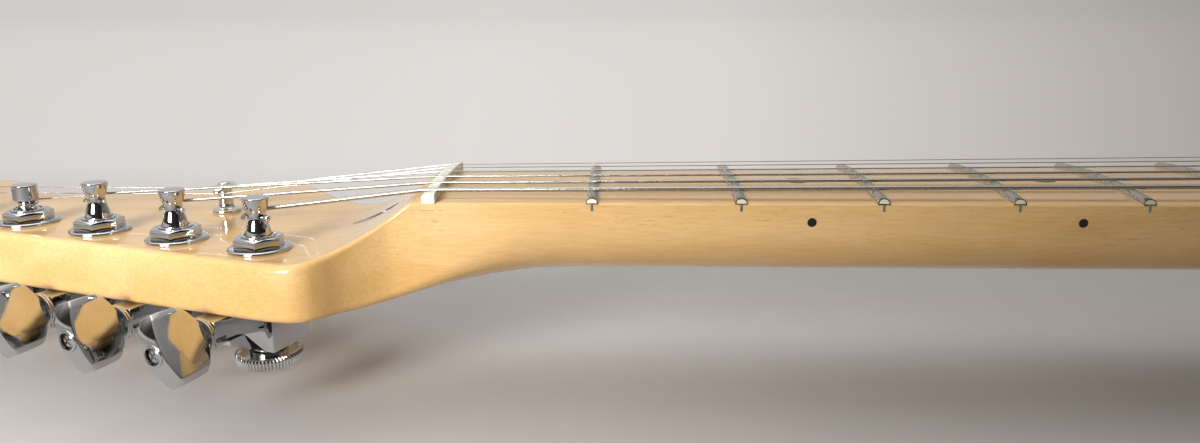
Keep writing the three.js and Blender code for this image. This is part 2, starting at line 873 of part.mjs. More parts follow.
// A post with its waist, where the string winds, and a bore for the lock pin.
function post(index) {
  const top = index < tallPostCount ? tallPostHeight : shortPostHeight;
  const waist = wrapHeight(index) - stringHoleDrop / 2;
  const waistLow = waist - postWaistLength / 2;
  const waistHigh = waist + postWaistLength / 2;
  const hole = wrapHeight(index) - stringHoleDrop;
  const foot = backZ - wheelDrop + wheelSocketFloor + wheelGap;
  const profile = [
    [0, foot],
    [postHubWidth, foot],
    [postHubWidth, shaftZ],
    [postDiameter, shaftZ],
  ];
  postFootShares.forEach(([full, up]) => {
    profile.push([mix(postWaistWidth, postDiameter, full), mix(postFootHeight, waistLow, up)]);
  });
  profile.push([postWaistWidth, waistLow], [postWaistWidth, waistHigh]);
  postCapShares.forEach(([full, up]) => {
    const height = mix(waistHigh, top - postTopRound, up);
    profile.push([mix(postWaistWidth, postDiameter, full), height]);
  });
  profile.push([postDiameter, top - postTopRound], [postDiameter - postTopRound * 2, top], [0, top]);
  const stringHole = rod(stringHoleWidth, -postDiameter, postDiameter, boreSides)
    .rotateY(quarterTurn)
    .rotateZ(stringHoleAngle)
    .translate(0, 0, hole);
  const lockBore = rod(lockBoreWidth, foot - overrun, hole, boreSides);
  return combined(turned(profile, smallRoundSides), [gear()], [stringHole, lockBore]);
}

function hull(corners) {
  return new ConvexGeometry(corners);
}

function corners(left, right, front, back, low, high) {
  const spots = [];
  [left, right].forEach((x) => [front, back].forEach((y) => [low, high].forEach((z) => {
    spots.push(point(x, y, z));
  })));
  return spots;
}

// The gear case under the head, open to it, with an arm that carries the worm shaft and
// two facets that fall back from the case's front edges to the arm.
function housing() {
  const low = backZ - housingHeight;
  const armLow = backZ - armHeight;
  const armLeft = -shaftOffset - armWidth / 2;
  const armRight = -shaftOffset + armWidth / 2;
  const nearTop = backZ - housingDraft;
  const caseCorners = [
    ...corners(-housingLeft, housingRight, -housingFront, housingBack, nearTop, backZ),
    ...corners(
      -housingLeft + housingDraft,
      housingRight,
      -housingFront,
      housingBack - housingDraft,
      low,
      nearTop,
    ),
  ];
  const frontY = -housingFront - overrun;
  const hollowY = -housingFront + hollowDepth;
  const hollow = hull([-1, 1].flatMap((side) => {
    const sideX = side < 0 ? -housingLeft - overrun : housingRight - housingFlank;
    const armX = side < 0 ? sideX : armRight;
    return [
      point(sideX, frontY, low),
      point(sideX, -housingFront, low),
      point(armX, hollowY, armLow),
      point(armX, hollowY, backZ + overrun),
      point(sideX, -housingFront, backZ + overrun),
      point(sideX, frontY, backZ + overrun),
    ];
  }));
  const hollowed = geometryOf(solid(hull(caseCorners)).subtract(solid(hollow)));
  const arm = block(point(armLeft, -armLength, armLow), point(armRight, -shaftInnerReach, backZ));
  const wall = housingWall + housingDraft;
  const cavity = block(
    point(-housingLeft + wall, -gearWidth / 2 - housingGap, low + housingWall),
    point(housingRight - wall, housingBack - wall, backZ + overrun),
  );
  const postHole = rod(
    postHubWidth + housingGap * 2,
    low - overrun,
    backZ,
    smallRoundSides,
  );
  const shaftHoles = [
    rod(shaftDiameter + shaftGap * 2, 0, armLength + overrun, smallRoundSides),
    rod(shaftJournalWidth + shaftGap * 2, -shaftInnerReach - shaftGap, 0, smallRoundSides),
  ].map((hole) => hole.rotateX(quarterTurn).translate(-shaftOffset, 0, shaftZ));
  return combined(hollowed, [arm], [cavity, postHole, ...shaftHoles]);
}

// A body turned about a button's shaft, from pairs of width and distance from the post.
function alongShaft(pairs, sides) {
  return turned(pairs, sides).rotateX(quarterTurn);
}

function wormShaft() {
  const profile = [[0, -shaftInnerReach], [shaftJournalWidth, -shaftInnerReach]];
  for (let i = 0; i < wormRidgeCount; i += 1) {
    const pitch = wormLength / wormRidgeCount;
    const start = -wormLength / 2 + i * pitch;
    profile.push(
      [wormRadius * 2 - wormRidgeHeight * 2, start],
      [wormRadius * 2, start + pitch / 2],
    );
  }
  profile.push(
    [wormRadius * 2 - wormRidgeHeight * 2, wormLength / 2],
    [shaftDiameter, wormLength / 2 + shaftGap],
    [shaftDiameter, armLength + collarGap],
    [collarWidth, armLength + collarGap],
    [collarWidth, armLength + collarGap + collarThickness],
    [shaftDiameter, armLength + collarGap + collarThickness],
    [shaftDiameter, shaftEnd],
    [screwShankWidth + screwGap * 2, shaftEnd],
    [screwShankWidth + screwGap * 2, shaftEnd - screwShankLength],
    [0, shaftEnd - screwShankLength],
  );
  return alongShaft(profile, boreSides);
}

function buttonScrew() {
  const seat = recessFloor + screwGap;
  return alongShaft([
    [0, shaftEnd - screwShankLength + screwGap],
    [screwShankWidth, shaftEnd - screwShankLength + screwGap],
    [screwShankWidth, seat],
    [screwHeadWidth, seat],
    [screwHeadWidth, seat + screwHeadHeight / 2],
    [screwHeadWidth / 2, seat + screwHeadHeight],
    [0, seat + screwHeadHeight],
  ], boreSides);
}

// A faceted button, barrel-shaped in plan, with a bore for its shaft and a recess for
// its screw.
function button() {
  const rings = buttonShares.map(([wide, thick, along]) => {
    const spot = (across, up) => point(
      across * thick * buttonThickness / 2,
      -mix(buttonStart + buttonInnerSag * up ** 2, buttonEnd - buttonOuterSag * up ** 2, along),
      up * wide * buttonWidth / 2,
    );
    const quarter = buttonCornerShares;
    return [
      ...quarter.map(([across, up]) => spot(across, up)),
      ...quarter.slice(1).reverse().map(([across, up]) => spot(-across, up)),
      ...quarter.map(([across, up]) => spot(-across, -up)),
      ...quarter.slice(1).reverse().map(([across, up]) => spot(across, -up)),
    ];
  });
  const bore = rod(
    shaftDiameter + buttonBoreGap * 2,
    buttonStart - overrun,
    buttonEnd + overrun,
    smallRoundSides,
  );
  const recess = rod(buttonRecessWidth, recessFloor, buttonEnd + overrun, smallRoundSides);
  return combined(loft(rings), [], [bore.rotateX(quarterTurn), recess.rotateX(quarterTurn)]);
}

// The thumb wheel under the case, with the pin that rises inside the post to the string.
function lockWheel(index) {
  const top = backZ - wheelDrop;
  const bottom = top - wheelThickness;
  const socket = postHubWidth + wheelGap * 2;
  const floor = top + wheelSocketFloor;
  const pinTop = wrapHeight(index) - stringHoleDrop - lockPinGap;
  return turned([
    [0, pinTop],
    [lockPinWidth, pinTop],
    [lockPinWidth, floor],
    [socket, floor],
    [socket, top + wheelHubHeight],
    [wheelHubWidth, top + wheelHubHeight],
    [wheelHubWidth, top],
    [wheelWidth - wheelEdgeRound * 2, top],
    [wheelWidth, top - wheelEdgeRound],
    [wheelWidth, bottom + wheelEdgeRound],
    [wheelWidth - wheelEdgeRound * 2, bottom],
    [0, bottom],
  ]);
}

function addTuner(index) {
  const name = (piece) => `tuner_${index + 1}_${piece}`;
  const place = tunerPlace(index);
  const tuner = new THREE.Group();
  tuner.position.set(place.x, place.y, headThickness);
  tuner.rotation.z = -tunerLineAngle;
  part.add(tuner);
  add(name('washer'), washer(), 'chrome', tuner);
  add(name('bushing'), bushing(), 'chrome', tuner);
  add(name('post'), post(index), 'chrome', tuner);
  add(name('housing'), housing(), 'chrome', tuner);
  add(name('lock_wheel'), lockWheel(index), 'nickel', tuner);
  const knob = new THREE.Group();
  knob.position.set(-shaftOffset, 0, shaftZ);
  knob.rotation.y = -buttonTilts[index];
  tuner.add(knob);
  add(name('worm_shaft'), wormShaft(), 'steel', knob);
  add(name('button'), button(), 'chrome', knob);
  add(name('button_screw'), buttonScrew(), 'steel', knob);
}

add('neck', neck(), 'maple');
add('nut', nut(), 'bone');
add('truss_rod', trussRod(), 'steel');
add('truss_rod_plug', plug(), 'walnut');
add('skunk_stripe', stripe(), 'walnut');
add('string_tree', stringTree(), 'nickel');
for (let index = 0; index < tunerCount; index += 1) {
  addTuner(index);
  add(`string_${index + 1}`, string(index), 'nickel');
}

export default part;
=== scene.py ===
import math

import bmesh
import bpy
import numpy as np
from bpy.props import (
    FloatProperty,
    FloatVectorProperty,
    IntProperty,
    PointerProperty,
)
from bpy.types import Operator, Panel, PropertyGroup
from mathutils import Matrix, Vector


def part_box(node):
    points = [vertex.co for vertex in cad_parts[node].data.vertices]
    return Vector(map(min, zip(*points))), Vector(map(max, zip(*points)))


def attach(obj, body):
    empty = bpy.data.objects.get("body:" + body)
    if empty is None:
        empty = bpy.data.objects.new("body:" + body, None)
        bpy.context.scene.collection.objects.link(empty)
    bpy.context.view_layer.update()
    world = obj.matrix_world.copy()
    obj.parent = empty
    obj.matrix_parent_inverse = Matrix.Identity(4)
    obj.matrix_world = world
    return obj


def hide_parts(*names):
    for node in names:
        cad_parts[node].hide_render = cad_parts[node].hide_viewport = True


bl_info = {
    "name": "Electric Guitar Neck",
    "version": (1, 0, 0),
    "blender": (4, 5, 0),
    "location": "View3D > Sidebar > Guitar Neck",
    "description": "Builds the looks of a maple guitar neck over its fixed solids",
    "category": "Add Mesh",
}

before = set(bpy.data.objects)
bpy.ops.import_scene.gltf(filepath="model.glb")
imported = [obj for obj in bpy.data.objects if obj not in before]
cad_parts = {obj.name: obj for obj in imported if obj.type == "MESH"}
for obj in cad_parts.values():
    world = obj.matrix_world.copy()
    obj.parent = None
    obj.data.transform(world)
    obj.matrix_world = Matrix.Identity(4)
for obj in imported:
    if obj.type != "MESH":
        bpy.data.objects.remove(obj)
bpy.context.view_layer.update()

# All lengths below are in millimetres in the row frame, unless their name says otherwise.
MM = 0.001


def low(node):
    return np.array(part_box(node)[0]) / MM


def high(node):
    return np.array(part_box(node)[1]) / MM


# How many of each
TUNERS = 6
TALL_POSTS = 3
FRETS = 22
WOUND_STRINGS = 3

# Neck, head and heel
SCALE_LENGTH = 648.0
NUT_WIDTH = 42.0
HEEL_WIDTH = 56.0
BOARD_RADIUS = 241.0
HEEL_THICKNESS = 25.4
FIRST_FRET_THICKNESS = 21.0
OCTAVE_THICKNESS = 22.5
BOARD_SIDE_DEPTH = 4.6
BOARD_EDGE_ROUND = 0.8
BACK_FULLNESS = 2.15
HEEL_END = 38.1
HEEL_START = -38.1
HEEL_EDGE_ROUND = 1.6
HEEL_TAPER = 38.0
SCREW_SPACING = (50.8, 38.1)
TONGUE_THICKNESS = 6.0
HEAD_THICKNESS = float(low("tuner_1_washer")[2])
HEAD_REACH = 66.0
HEAD_EDGE_ROUND = 2.0
SHELF_LENGTH = 6.4
SCOOP_LENGTH = 26.0
THROAT_LEAD = 20.0
THROAT_LENGTH = 50.0
OUTLINE_RUN_IN = 15.0

# Nut
NUT_FACE = float(high("nut")[0])
NUT_BACK = float(low("nut")[0])
NUT_RISE = 2.3
NUT_SEAT = 1.7
NUT_ROUND = 0.42
NUT_FILLER = 0.38
NUT_SLOT_PLAY = 0.04

# Places along the neck
TIP = float(low("neck")[0])
BOARD_END = float(high("neck")[0])
HEAD_LENGTH = NUT_FACE - TIP
TAPER_START = HEEL_START - HEEL_TAPER
SHELF_END = NUT_FACE - SHELF_LENGTH
SCOOP_END = SHELF_END - SCOOP_LENGTH
THROAT_START = NUT_FACE - THROAT_LEAD
THROAT_END = THROAT_START + THROAT_LENGTH

# Stripe, plug and holes
STRIPE_WIDTH = 6.2
STRIPE_DEPTH = 7.0
STRIPE_START = float(low("skunk_stripe")[0])
STRIPE_END = float(high("skunk_stripe")[0])
PLUG_WIDTH = 6.6
PLUG_BORE = 4.2
PLUG_HEIGHT = 17.9
PLUG_END = float(high("truss_rod_plug")[0])
FIT_GAP = 0.06
TUNER_HOLE_WIDTH = 10.4
PILOT_WIDTH = 3.2
PILOT_DEPTH = 16

# Tuners in plan, with each washer's middle as the post's axis
PLACES = [(low(f"tuner_{n}_washer") + high(f"tuner_{n}_washer"))[:2] / 2 for n in range(1, TUNERS + 1)]
LINE_RUN = PLACES[-1] - PLACES[0]
LINE_ANGLE = math.atan2(LINE_RUN[1], -LINE_RUN[0])
EDGE_MARGIN = 11.2

# Strings and posts
STRING_WIDTHS = (1.07, 0.81, 0.61, 0.41, 0.28, 0.23)
WINDING_SCALE = 1130.0
NUT_SPAN = 35.5
BRIDGE_SPAN = 53.0
STRING_NUT_HEIGHT = 1.75
STRING_OCTAVE_HEIGHT = 3.0
STRING_OVERHANG = 14.0
STRING_BEND = 1.2
TALL_WRAP, SHORT_WRAP = 9.0, 5.5
WRAP_HEIGHTS = (TALL_WRAP,) * TALL_POSTS + (SHORT_WRAP,) * (TUNERS - TALL_POSTS)
WRAP_GAP = 0.3
WRAP_END = math.radians(205)
HOLE_DROP = 1.1
HOLE_ANGLE = math.radians(-20)
STRING_HOLE_WIDTH = 1.7
POST_WIDTH = 6.2
POST_WAIST = 4.3
TALL_POST_TOP, SHORT_POST_TOP = 12.6, 10.2
POST_FOOT = 3.4
POST_END = -24.2
POST_BORE = 2.8
PIN_WIDTH = 2.1
GEAR_WIDTH = 6.4
GEAR_THICKNESS = 2.6

# String tree
TREE_BACK = 65.0
TREE_STRINGS = (4, 5)
TREE_STRING_HEIGHT = 5.7
TREE_BAR_RISE = 1.3
TREE_SCREW_RISE = 1.9

# Tuner pieces, about the post's axis with Z = 0 on the head's face
BACK_Z = -HEAD_THICKNESS
WASHER_WIDTH = 14.6
WASHER_BORE = 10.5
WASHER_THICKNESS = 0.9
HEX_WIDTH = 10.4
HEX_TOP = 3.4
BUSHING_LIP_TOP = 3.75
BUSHING_WIDTH = 9.8
BUSHING_BORE = 6.5
HOUSING_DEPTH = 8.2
ARM_DEPTH = 5.8
ARM_WIDTH = 6.8
ARM_END = 14.2
HOUSING_WALL = 2.0
SHAFT_OFFSET = 5.6
SHAFT_Z = BACK_Z - 3.2
SHAFT_WIDTH = 3.0
SHAFT_END = 26.3
COLLAR_START = 14.5
BUTTON_START = 16.0
BUTTON_END = 28.7
BUTTON_HALF_THICKNESS = 2.88
BUTTON_CREASE = 0.83
BUTTON_RING_WIDTH = 5.2
BUTTON_RING_END = 29.0
SCREW_HEAD_WIDTH = 3.56
SCREW_HEAD_START = 26.6
SCREW_HEAD_END = 28.2
SCREW_RECESS = 27.5
CROSS_LENGTH = 2.5
CROSS_WIDTH = 0.52
CROSS_TURN = math.radians(25)
WHEEL_TOP = BACK_Z - 11
WHEEL_BOTTOM = BACK_Z - 13.9
KNURL_DEPTH = 0.45
BUTTON_TILTS = [math.radians(a) for a in (27, 19, 22, 12, 50, 35)]

# The head's outline, as shares of its length back from the nut and of its reach to the side
THROAT_SHARES = (
    (0.0215, -0.32), (0.0376, -0.324), (0.0591, -0.336), (0.078, -0.362), (0.0968, -0.398),
    (0.1145, -0.442), (0.1306, -0.495), (0.1452, -0.533), (0.1629, -0.55), (0.1828, -0.545),
    (0.207, -0.527),
)
TIP_SHARES = (
    (0.921, 0.262), (0.965, 0.345), (0.992, 0.462), (1, 0.606), (0.996, 0.75),
    (0.972, 0.879), (0.93, 0.962), (0.879, 0.997), (0.829, 0.982), (0.785, 0.912),
    (0.75, 0.808), (0.718, 0.705), (0.677, 0.642), (0.624, 0.621), (0.559, 0.627),
    (0.495, 0.661), (0.43, 0.727), (0.371, 0.794), (0.331, 0.817), (0.293, 0.808),
    (0.265, 0.761), (0.243, 0.676), (0.222, 0.591), (0.195, 0.506), (0.156, 0.412),
    (0.113, 0.355), (0.065, 0.329),
)

# Dots and frets
DOT_FRETS = (3, 5, 7, 9, 12, 15, 17, 19, 21)
DOUBLE_DOT_FRET = 12
DOUBLE_DOT_SIDE = 12
DOUBLE_DOT_RUN = 4
SIDE_DOT_DROP = 4.3
DOT_LIFT = 0.03
TANG_WIDTH = 0.6
TANG_DEPTH = 1.75
FRET_SKIRT = 0.15

# The stage, in metres and degrees
CAMERA_PLACE = (-0.38555, -0.23758, 0.07314)
CAMERA_TURN = (1.284, -13.756, 0.425)
CAMERA_LENS = 28.857
SENSOR = 36.0
FLOOR_Z = -0.028
FLOOR_RADII = (0.0, 1.0, 3.0, 12.0)
FLOOR_MIDDLE = -0.3
DARK_ROOM = (0.05, 0.043, 0.036)
KEY_PLACE, KEY_TARGET = (-0.74, -0.5, 0.22), (-0.54, 0, 0.01)
KEY_SIZE, KEY_SPREAD = (0.35, 0.25), 38
TOP_PLACE, TOP_TARGET = (-0.6, 0.12, 0.75), (-0.5, 0, 0)
TOP_SIZE, TOP_SPREAD = (1.0, 0.8), 80


# Sizes and colours that a user would change

class NeckLooks(PropertyGroup):
    maple_light: FloatVectorProperty(
        name="Maple", description="Colour of the pale wood between the growth lines",
        subtype="COLOR", default=(0.88, 0.585, 0.265), min=0, max=1)
    maple_dark: FloatVectorProperty(
        name="Growth Lines", description="Colour of the darker growth lines",
        subtype="COLOR", default=(0.70, 0.40, 0.125), min=0, max=1)
    maple_fleck: FloatVectorProperty(
        name="Flecks", description="Colour of the short reddish flecks along the grain",
        subtype="COLOR", default=(0.60, 0.30, 0.10), min=0, max=1)
    walnut: FloatVectorProperty(
        name="Walnut", description="Colour of the plug and of the stripe in the back",
        subtype="COLOR", default=(0.19, 0.06, 0.03), min=0, max=1)
    columns: IntProperty(
        name="Columns", description="Faces across the board, and across the back",
        default=48, min=12, max=120)


class FretLooks(PropertyGroup):
    width: FloatProperty(
        name="Crown Width", description="Width of a fret's crown",
        subtype="DISTANCE", default=2.86 * MM, min=0.001, max=0.004)
    height: FloatProperty(
        name="Crown Height", description="Height of a fret's crown over the board",
        subtype="DISTANCE", default=1.26 * MM, min=0.0005, max=0.002)
    dot_width: FloatProperty(
        name="Dot Width", description="Diameter of the dots in the board's face",
        subtype="DISTANCE", default=6.3 * MM, min=0.002, max=0.01)
    side_dot_width: FloatProperty(
        name="Side Dot Width", description="Diameter of the dots in the board's side",
        subtype="DISTANCE", default=2.15 * MM, min=0.001, max=0.004)
    nut_colour: FloatVectorProperty(
        name="Nut", description="Colour of the bone nut",
        subtype="COLOR", default=(0.90, 0.89, 0.76), min=0, max=1)


class TunerLooks(PropertyGroup):
    plate: FloatVectorProperty(
        name="Chrome", description="Colour of the chrome plate",
        subtype="COLOR", default=(0.57, 0.575, 0.58), min=0, max=1)
    knurls: IntProperty(
        name="Knurls", description="Ridges round the rim of a lock wheel",
        default=60, min=12, max=120)
    button_width: FloatProperty(
        name="Button Width", description="Width of a button across its shaft",
        subtype="DISTANCE", default=16.8 * MM, min=0.01, max=0.03)


class StringLooks(PropertyGroup):
    steel: FloatVectorProperty(
        name="Steel", description="Colour of the plain strings",
        subtype="COLOR", default=(0.52, 0.51, 0.48), min=0, max=1)
    winding: FloatVectorProperty(
        name="Winding", description="Colour of the wire round the three thick strings",
        subtype="COLOR", default=(0.46, 0.44, 0.40), min=0, max=1)


class StageLooks(PropertyGroup):
    floor_near: FloatVectorProperty(
        name="Floor", description="Colour of the floor near the neck",
        subtype="COLOR", default=(0.57, 0.55, 0.535), min=0, max=1)
    floor_far: FloatVectorProperty(
        name="Backdrop", description="Colour of the sweep behind the neck",
        subtype="COLOR", default=(0.755, 0.72, 0.695), min=0, max=1)
    key_power: FloatProperty(
        name="Key", description="Power of the soft lamp at the head's end",
        subtype="POWER", default=0.49, min=0, max=100)
    top_power: FloatProperty(
        name="Top", description="Power of the soft lamp overhead",
        subtype="POWER", default=0.72, min=0, max=100)


# The neck's shape, as its solid has it

def mix(a, b, share):
    return a + (b - a) * share


def smooth(value):
    value = np.clip(value, 0, 1)
    return value ** 2 * (3 - 2 * value)


def circle_drop(radius, across):
    return radius - np.sqrt(radius ** 2 - across ** 2)


def round_drop(distance, radius):
    return circle_drop(radius, np.maximum(radius - distance, 0))


def fret_x(number):
    return NUT_FACE + SCALE_LENGTH * (1 - 2 ** (-number / 12))


def half_width(x):
    share = (x - NUT_FACE) / (HEEL_END - NUT_FACE)
    return mix(NUT_WIDTH, HEEL_WIDTH, np.maximum(share, 0)) / 2


def board_height(y):
    return HEEL_THICKNESS - circle_drop(BOARD_RADIUS, y)


def back_height(x):
    share = (x - fret_x(1)) / (fret_x(12) - fret_x(1))
    return HEEL_THICKNESS - mix(FIRST_FRET_THICKNESS, OCTAVE_THICKNESS, share)


def spline(points, samples):
    """Points along a smooth curve through others, evenly spaced by their number."""
    points = np.asarray(points, float)
    last = len(points) - 1
    place = np.linspace(0, last, samples)
    i = np.minimum(place.astype(int), last - 1)
    t = (place - i)[:, None]
    a, b = points[np.maximum(i - 1, 0)], points[i]
    c, d = points[i + 1], points[np.minimum(i + 2, last)]
    v, w = (c - a) / 2, (d - b) / 2
    return (2 * b - 2 * c + v + w) * t ** 3 + (3 * c - 3 * b - 2 * v - w) * t ** 2 + v * t + b


def head_outline():
    outward = np.array([-math.sin(LINE_ANGLE), -math.cos(LINE_ANGLE)])
    leads = NUT_FACE + OUTLINE_RUN_IN * np.array([2, 1, 0])
    run_in = np.column_stack([leads, half_width(leads)])
    corners = [tuple(spot) for spot in run_in * (1, -1)]
    corners += [(NUT_FACE - back * HEAD_LENGTH, side * HEAD_REACH) for back, side in THROAT_SHARES]
    corners += [tuple(place + outward * EDGE_MARGIN) for place in PLACES]
    corners += [(NUT_FACE - back * HEAD_LENGTH, side * HEAD_REACH) for back, side in TIP_SHARES]
    corners += [tuple(spot) for spot in run_in[::-1]]
    return spline(corners, 1200)


OUTLINE = head_outline()


def outline_side(side):
    """The head's edge on one side from its tip to the nut, as places and sides that rise in x."""
    tip = int(OUTLINE[:, 0].argmin())
    points = OUTLINE[tip:] if side > 0 else OUTLINE[tip::-1]
    furthest = np.maximum.accumulate(points[:, 0])
    keep = np.append(True, points[1:, 0] > furthest[:-1])
    return points[keep]


SIDES = {side: outline_side(side) for side in (-1, 1)}


def edge_y(x, side):
    points = SIDES[side]
    return np.where(x >= NUT_FACE, side * half_width(x), np.interp(x, points[:, 0], points[:, 1]))


def edge_distance(x, y):
    """Distance in plan from points on the neck to its edge."""
    straight = np.where(x < NUT_FACE, np.inf, half_width(x) - np.abs(y))
    nearest = np.full(x.shape, np.inf)
    start, run = OUTLINE[:-1], np.diff(OUTLINE, axis=0)
    length = (run ** 2).sum(1)
    spots = np.stack([x, y], 1)
    for i in range(0, len(spots), 4000):
        if x[i:i + 4000].min() > THROAT_END:
            continue
        away = spots[i:i + 4000, None] - start
        share = np.clip((away * run).sum(2) / length, 0, 1)
        nearest[i:i + 4000] = np.linalg.norm(away - share[..., None] * run, axis=2).min(1)
    nearest = np.where(x > THROAT_END, np.inf, nearest)
    return np.maximum(np.minimum(straight, nearest), 0)


def top_height(x, y, distance):
    fall = np.clip((SHELF_END - x) / SCOOP_LENGTH, 0, 1)
    surface = mix(HEAD_THICKNESS, board_height(y), (1 - fall) ** 2)
    return surface - round_drop(distance, mix(BOARD_EDGE_ROUND, HEAD_EDGE_ROUND, smooth(fall)))


def bottom_height(x, y, distance):
    half = half_width(x)
    shoulder = board_height(half) - BOARD_SIDE_DEPTH
    edge = np.where(y < 0, -edge_y(x, -1), edge_y(x, 1))
    across = np.minimum(1, np.abs(y) / edge)
    depth = (shoulder - back_height(x)) * np.sqrt(1 - across ** BACK_FULLNESS)
    head = 1 - smooth((x - THROAT_START) / THROAT_LENGTH)
    heel = smooth((x - TAPER_START) / HEEL_TAPER)
    shaft = mix(shoulder - depth, round_drop(distance, HEAD_EDGE_ROUND), head)
    return mix(shaft, round_drop(distance, HEEL_EDGE_ROUND), heel)


# Ways to make a shell: its points in millimetres and its faces

def joined(*shells):
    points, faces, base = [], [], 0
    for spots, polygons in shells:
        points.append(np.asarray(spots, float))
        faces += [tuple(base + i for i in polygon) for polygon in polygons]
        base += len(spots)
    return np.concatenate(points), faces


def placed(shell, turn=0.0, axis="Z", shift=(0, 0, 0)):
    matrix = np.array(Matrix.Rotation(turn, 3, axis))
    return np.asarray(shell[0], float) @ matrix.T + np.asarray(shift, float), shell[1]


def loft(rings, closed=False):
    """A skin through rings of points, with a face over each end or joined round to its start."""
    rings = np.asarray(rings, float)
    count, size = rings.shape[:2]
    faces = []
    for i in range(count if closed else count - 1):
        a, b = i * size, (i + 1) % count * size
        faces += [(a + j, b + j, b + (j + 1) % size, a + (j + 1) % size) for j in range(size)]
    if not closed:
        faces += [tuple(range(size)), tuple(range((count - 1) * size, count * size))[::-1]]
    return rings.reshape(-1, 3), faces


def block(start, end):
    a, b = np.asarray(start, float), np.asarray(end, float)
    ring = [(0, 0), (1, 0), (1, 1), (0, 1)]
    return loft([[(mix(a[0], b[0], i), mix(a[1], b[1], j), z) for i, j in ring] for z in (a[2], b[2])])


def circle(width, sides):
    turns = np.arange(sides) * math.tau / sides
    return np.stack([np.cos(turns), np.sin(turns)], 1) * width / 2


def rod(width, start, end, sides=48):
    ring = circle(width, sides)
    return loft([np.column_stack([ring, np.full(sides, z)]) for z in (start, end)])


def along_x(shell, y, z):
    return placed(shell, math.pi / 2, "Y", (0, y, z))


def along_shaft(shell):
    """A shell built up Z, laid along a tuner's shaft towards its button."""
    return placed(shell, math.pi / 2, "X")


def rounded(profile, radius, steps=4, closed=False):
    """A profile with its corners rounded."""
    spots = [np.asarray(p, float) for p in profile]
    if closed:
        around = zip(spots[-1:] + spots[:-1], spots, spots[1:] + spots[:1])
    else:
        around = zip(spots, spots[1:], spots[2:])
    made = []
    for a, b, c in around:
        before, after = np.linalg.norm(a - b), np.linalg.norm(c - b)
        start = b + (a - b) / before * min(radius, before * 0.45)
        end = b + (c - b) / after * min(radius, after * 0.45)
        for t in np.linspace(0, 1, steps + 1):
            made.append((1 - t) ** 2 * start + 2 * t * (1 - t) * b + t * t * end)
    return made if closed else [spots[0], *made, spots[-1]]


def turned(profile, sides=72, closed=False, wave=None):
    """A body turned about Z, from pairs of radius and height. Wave moves radii out or in."""
    turns = np.arange(sides) * math.tau / sides
    points, rows = [], []
    for k, (radius, height) in enumerate(profile):
        if radius < 1e-6:
            rows.append([len(points)] * sides)
            points.append((0, 0, height))
            continue
        radii = radius + (wave(k, turns) if wave else 0 * turns)
        rows.append(range(len(points), len(points) + sides))
        points += [(r * math.cos(t), r * math.sin(t), height) for r, t in zip(radii, turns)]
    faces = []
    for upper, lower in zip(rows, list(rows[1:]) + (rows[:1] if closed else [])):
        for j in range(sides):
            k = (j + 1) % sides
            face = [upper[j], lower[j], lower[k], upper[k]]
            faces.append(tuple(dict.fromkeys(face)))
    return np.array(points), [f for f in faces if len(f) > 2]


def tube(path, width, sides=12):
    """A round tube along a path, with its ring kept from twisting."""
    path = np.asarray(path, float)
    steps = np.diff(path, axis=0)
    steps /= np.linalg.norm(steps, axis=1)[:, None]
    along = np.vstack([steps[:1], steps[1:] + steps[:-1], steps[-1:]])
    along /= np.linalg.norm(along, axis=1)[:, None]
    side = np.cross(along[0], (0.1, 0.2, 1.0))
    ring = circle(width, sides)
    rings = []
    for spot, way in zip(path, along):
        side = side - way * (side @ way)
        side /= np.linalg.norm(side)
        rings.append(spot + ring[:, :1] * side + ring[:, 1:] * np.cross(way, side))
    return loft(rings)


def hull(points):
    mesh = bmesh.new()
    for spot in points:
        mesh.verts.new(spot)
    made = bmesh.ops.convex_hull(mesh, input=mesh.verts)
    bmesh.ops.delete(mesh, geom=made["geom_interior"], context="VERTS")
    bmesh.ops.dissolve_limit(mesh, angle_limit=0.01, verts=mesh.verts, edges=mesh.edges)
    mesh.verts.index_update()
    shell = (
        np.array([v.co for v in mesh.verts]),
        [tuple(v.index for v in f.verts) for f in mesh.faces],
    )
    mesh.free()
    return shell


# Ways to make a piece of the scene

def mesh_from(name, shell):
    mesh = bpy.data.meshes.new(name)
    mesh.from_pydata((np.asarray(shell[0]) * MM).tolist(), [], shell[1])
    tool = bmesh.new()
    tool.from_mesh(mesh)
    bmesh.ops.recalc_face_normals(tool, faces=tool.faces)
    tool.to_mesh(mesh)
    tool.free()
    return mesh


def body_from(name, shell):
    made = bpy.data.objects.new(name, mesh_from(name, shell))
    bpy.context.scene.collection.objects.link(made)
    return made


def bake(piece):
    """The piece's modifiers go into its mesh."""
    graph = bpy.context.evaluated_depsgraph_get()
    made = bpy.data.meshes.new_from_object(piece.evaluated_get(graph))
    piece.modifiers.clear()
    old, piece.data = piece.data, made
    bpy.data.meshes.remove(old)


def combine(piece, shell, operation="DIFFERENCE"):
    other = body_from("cutter", shell)
    modifier = piece.modifiers.new("cut", "BOOLEAN")
    modifier.object = other
    modifier.operation = operation
    modifier.solver = "EXACT"
    bake(piece)
    mesh = other.data
    bpy.data.objects.remove(other)
    bpy.data.meshes.remove(mesh)


def soften(piece, width, segments, angle):
    modifier = piece.modifiers.new("soften", "BEVEL")
    modifier.width = width * MM
    modifier.segments = segments
    modifier.limit_method = "ANGLE"
    modifier.angle_limit = math.radians(angle)
    modifier.miter_outer = "MITER_ARC"
    bake(piece)


def finish_mesh(mesh, material, angle):
    mesh.shade_smooth()
    mesh.set_sharp_from_angle(angle=math.radians(angle))
    mesh.materials.clear()
    mesh.materials.append(material)


def settle(piece, body, nodes, matrix=None):
    """The piece takes its place, its body and the nodes that it stands for."""
    if matrix is not None:
        piece.matrix_world = matrix
    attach(piece, body)
    if nodes:
        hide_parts(*nodes)
    return piece


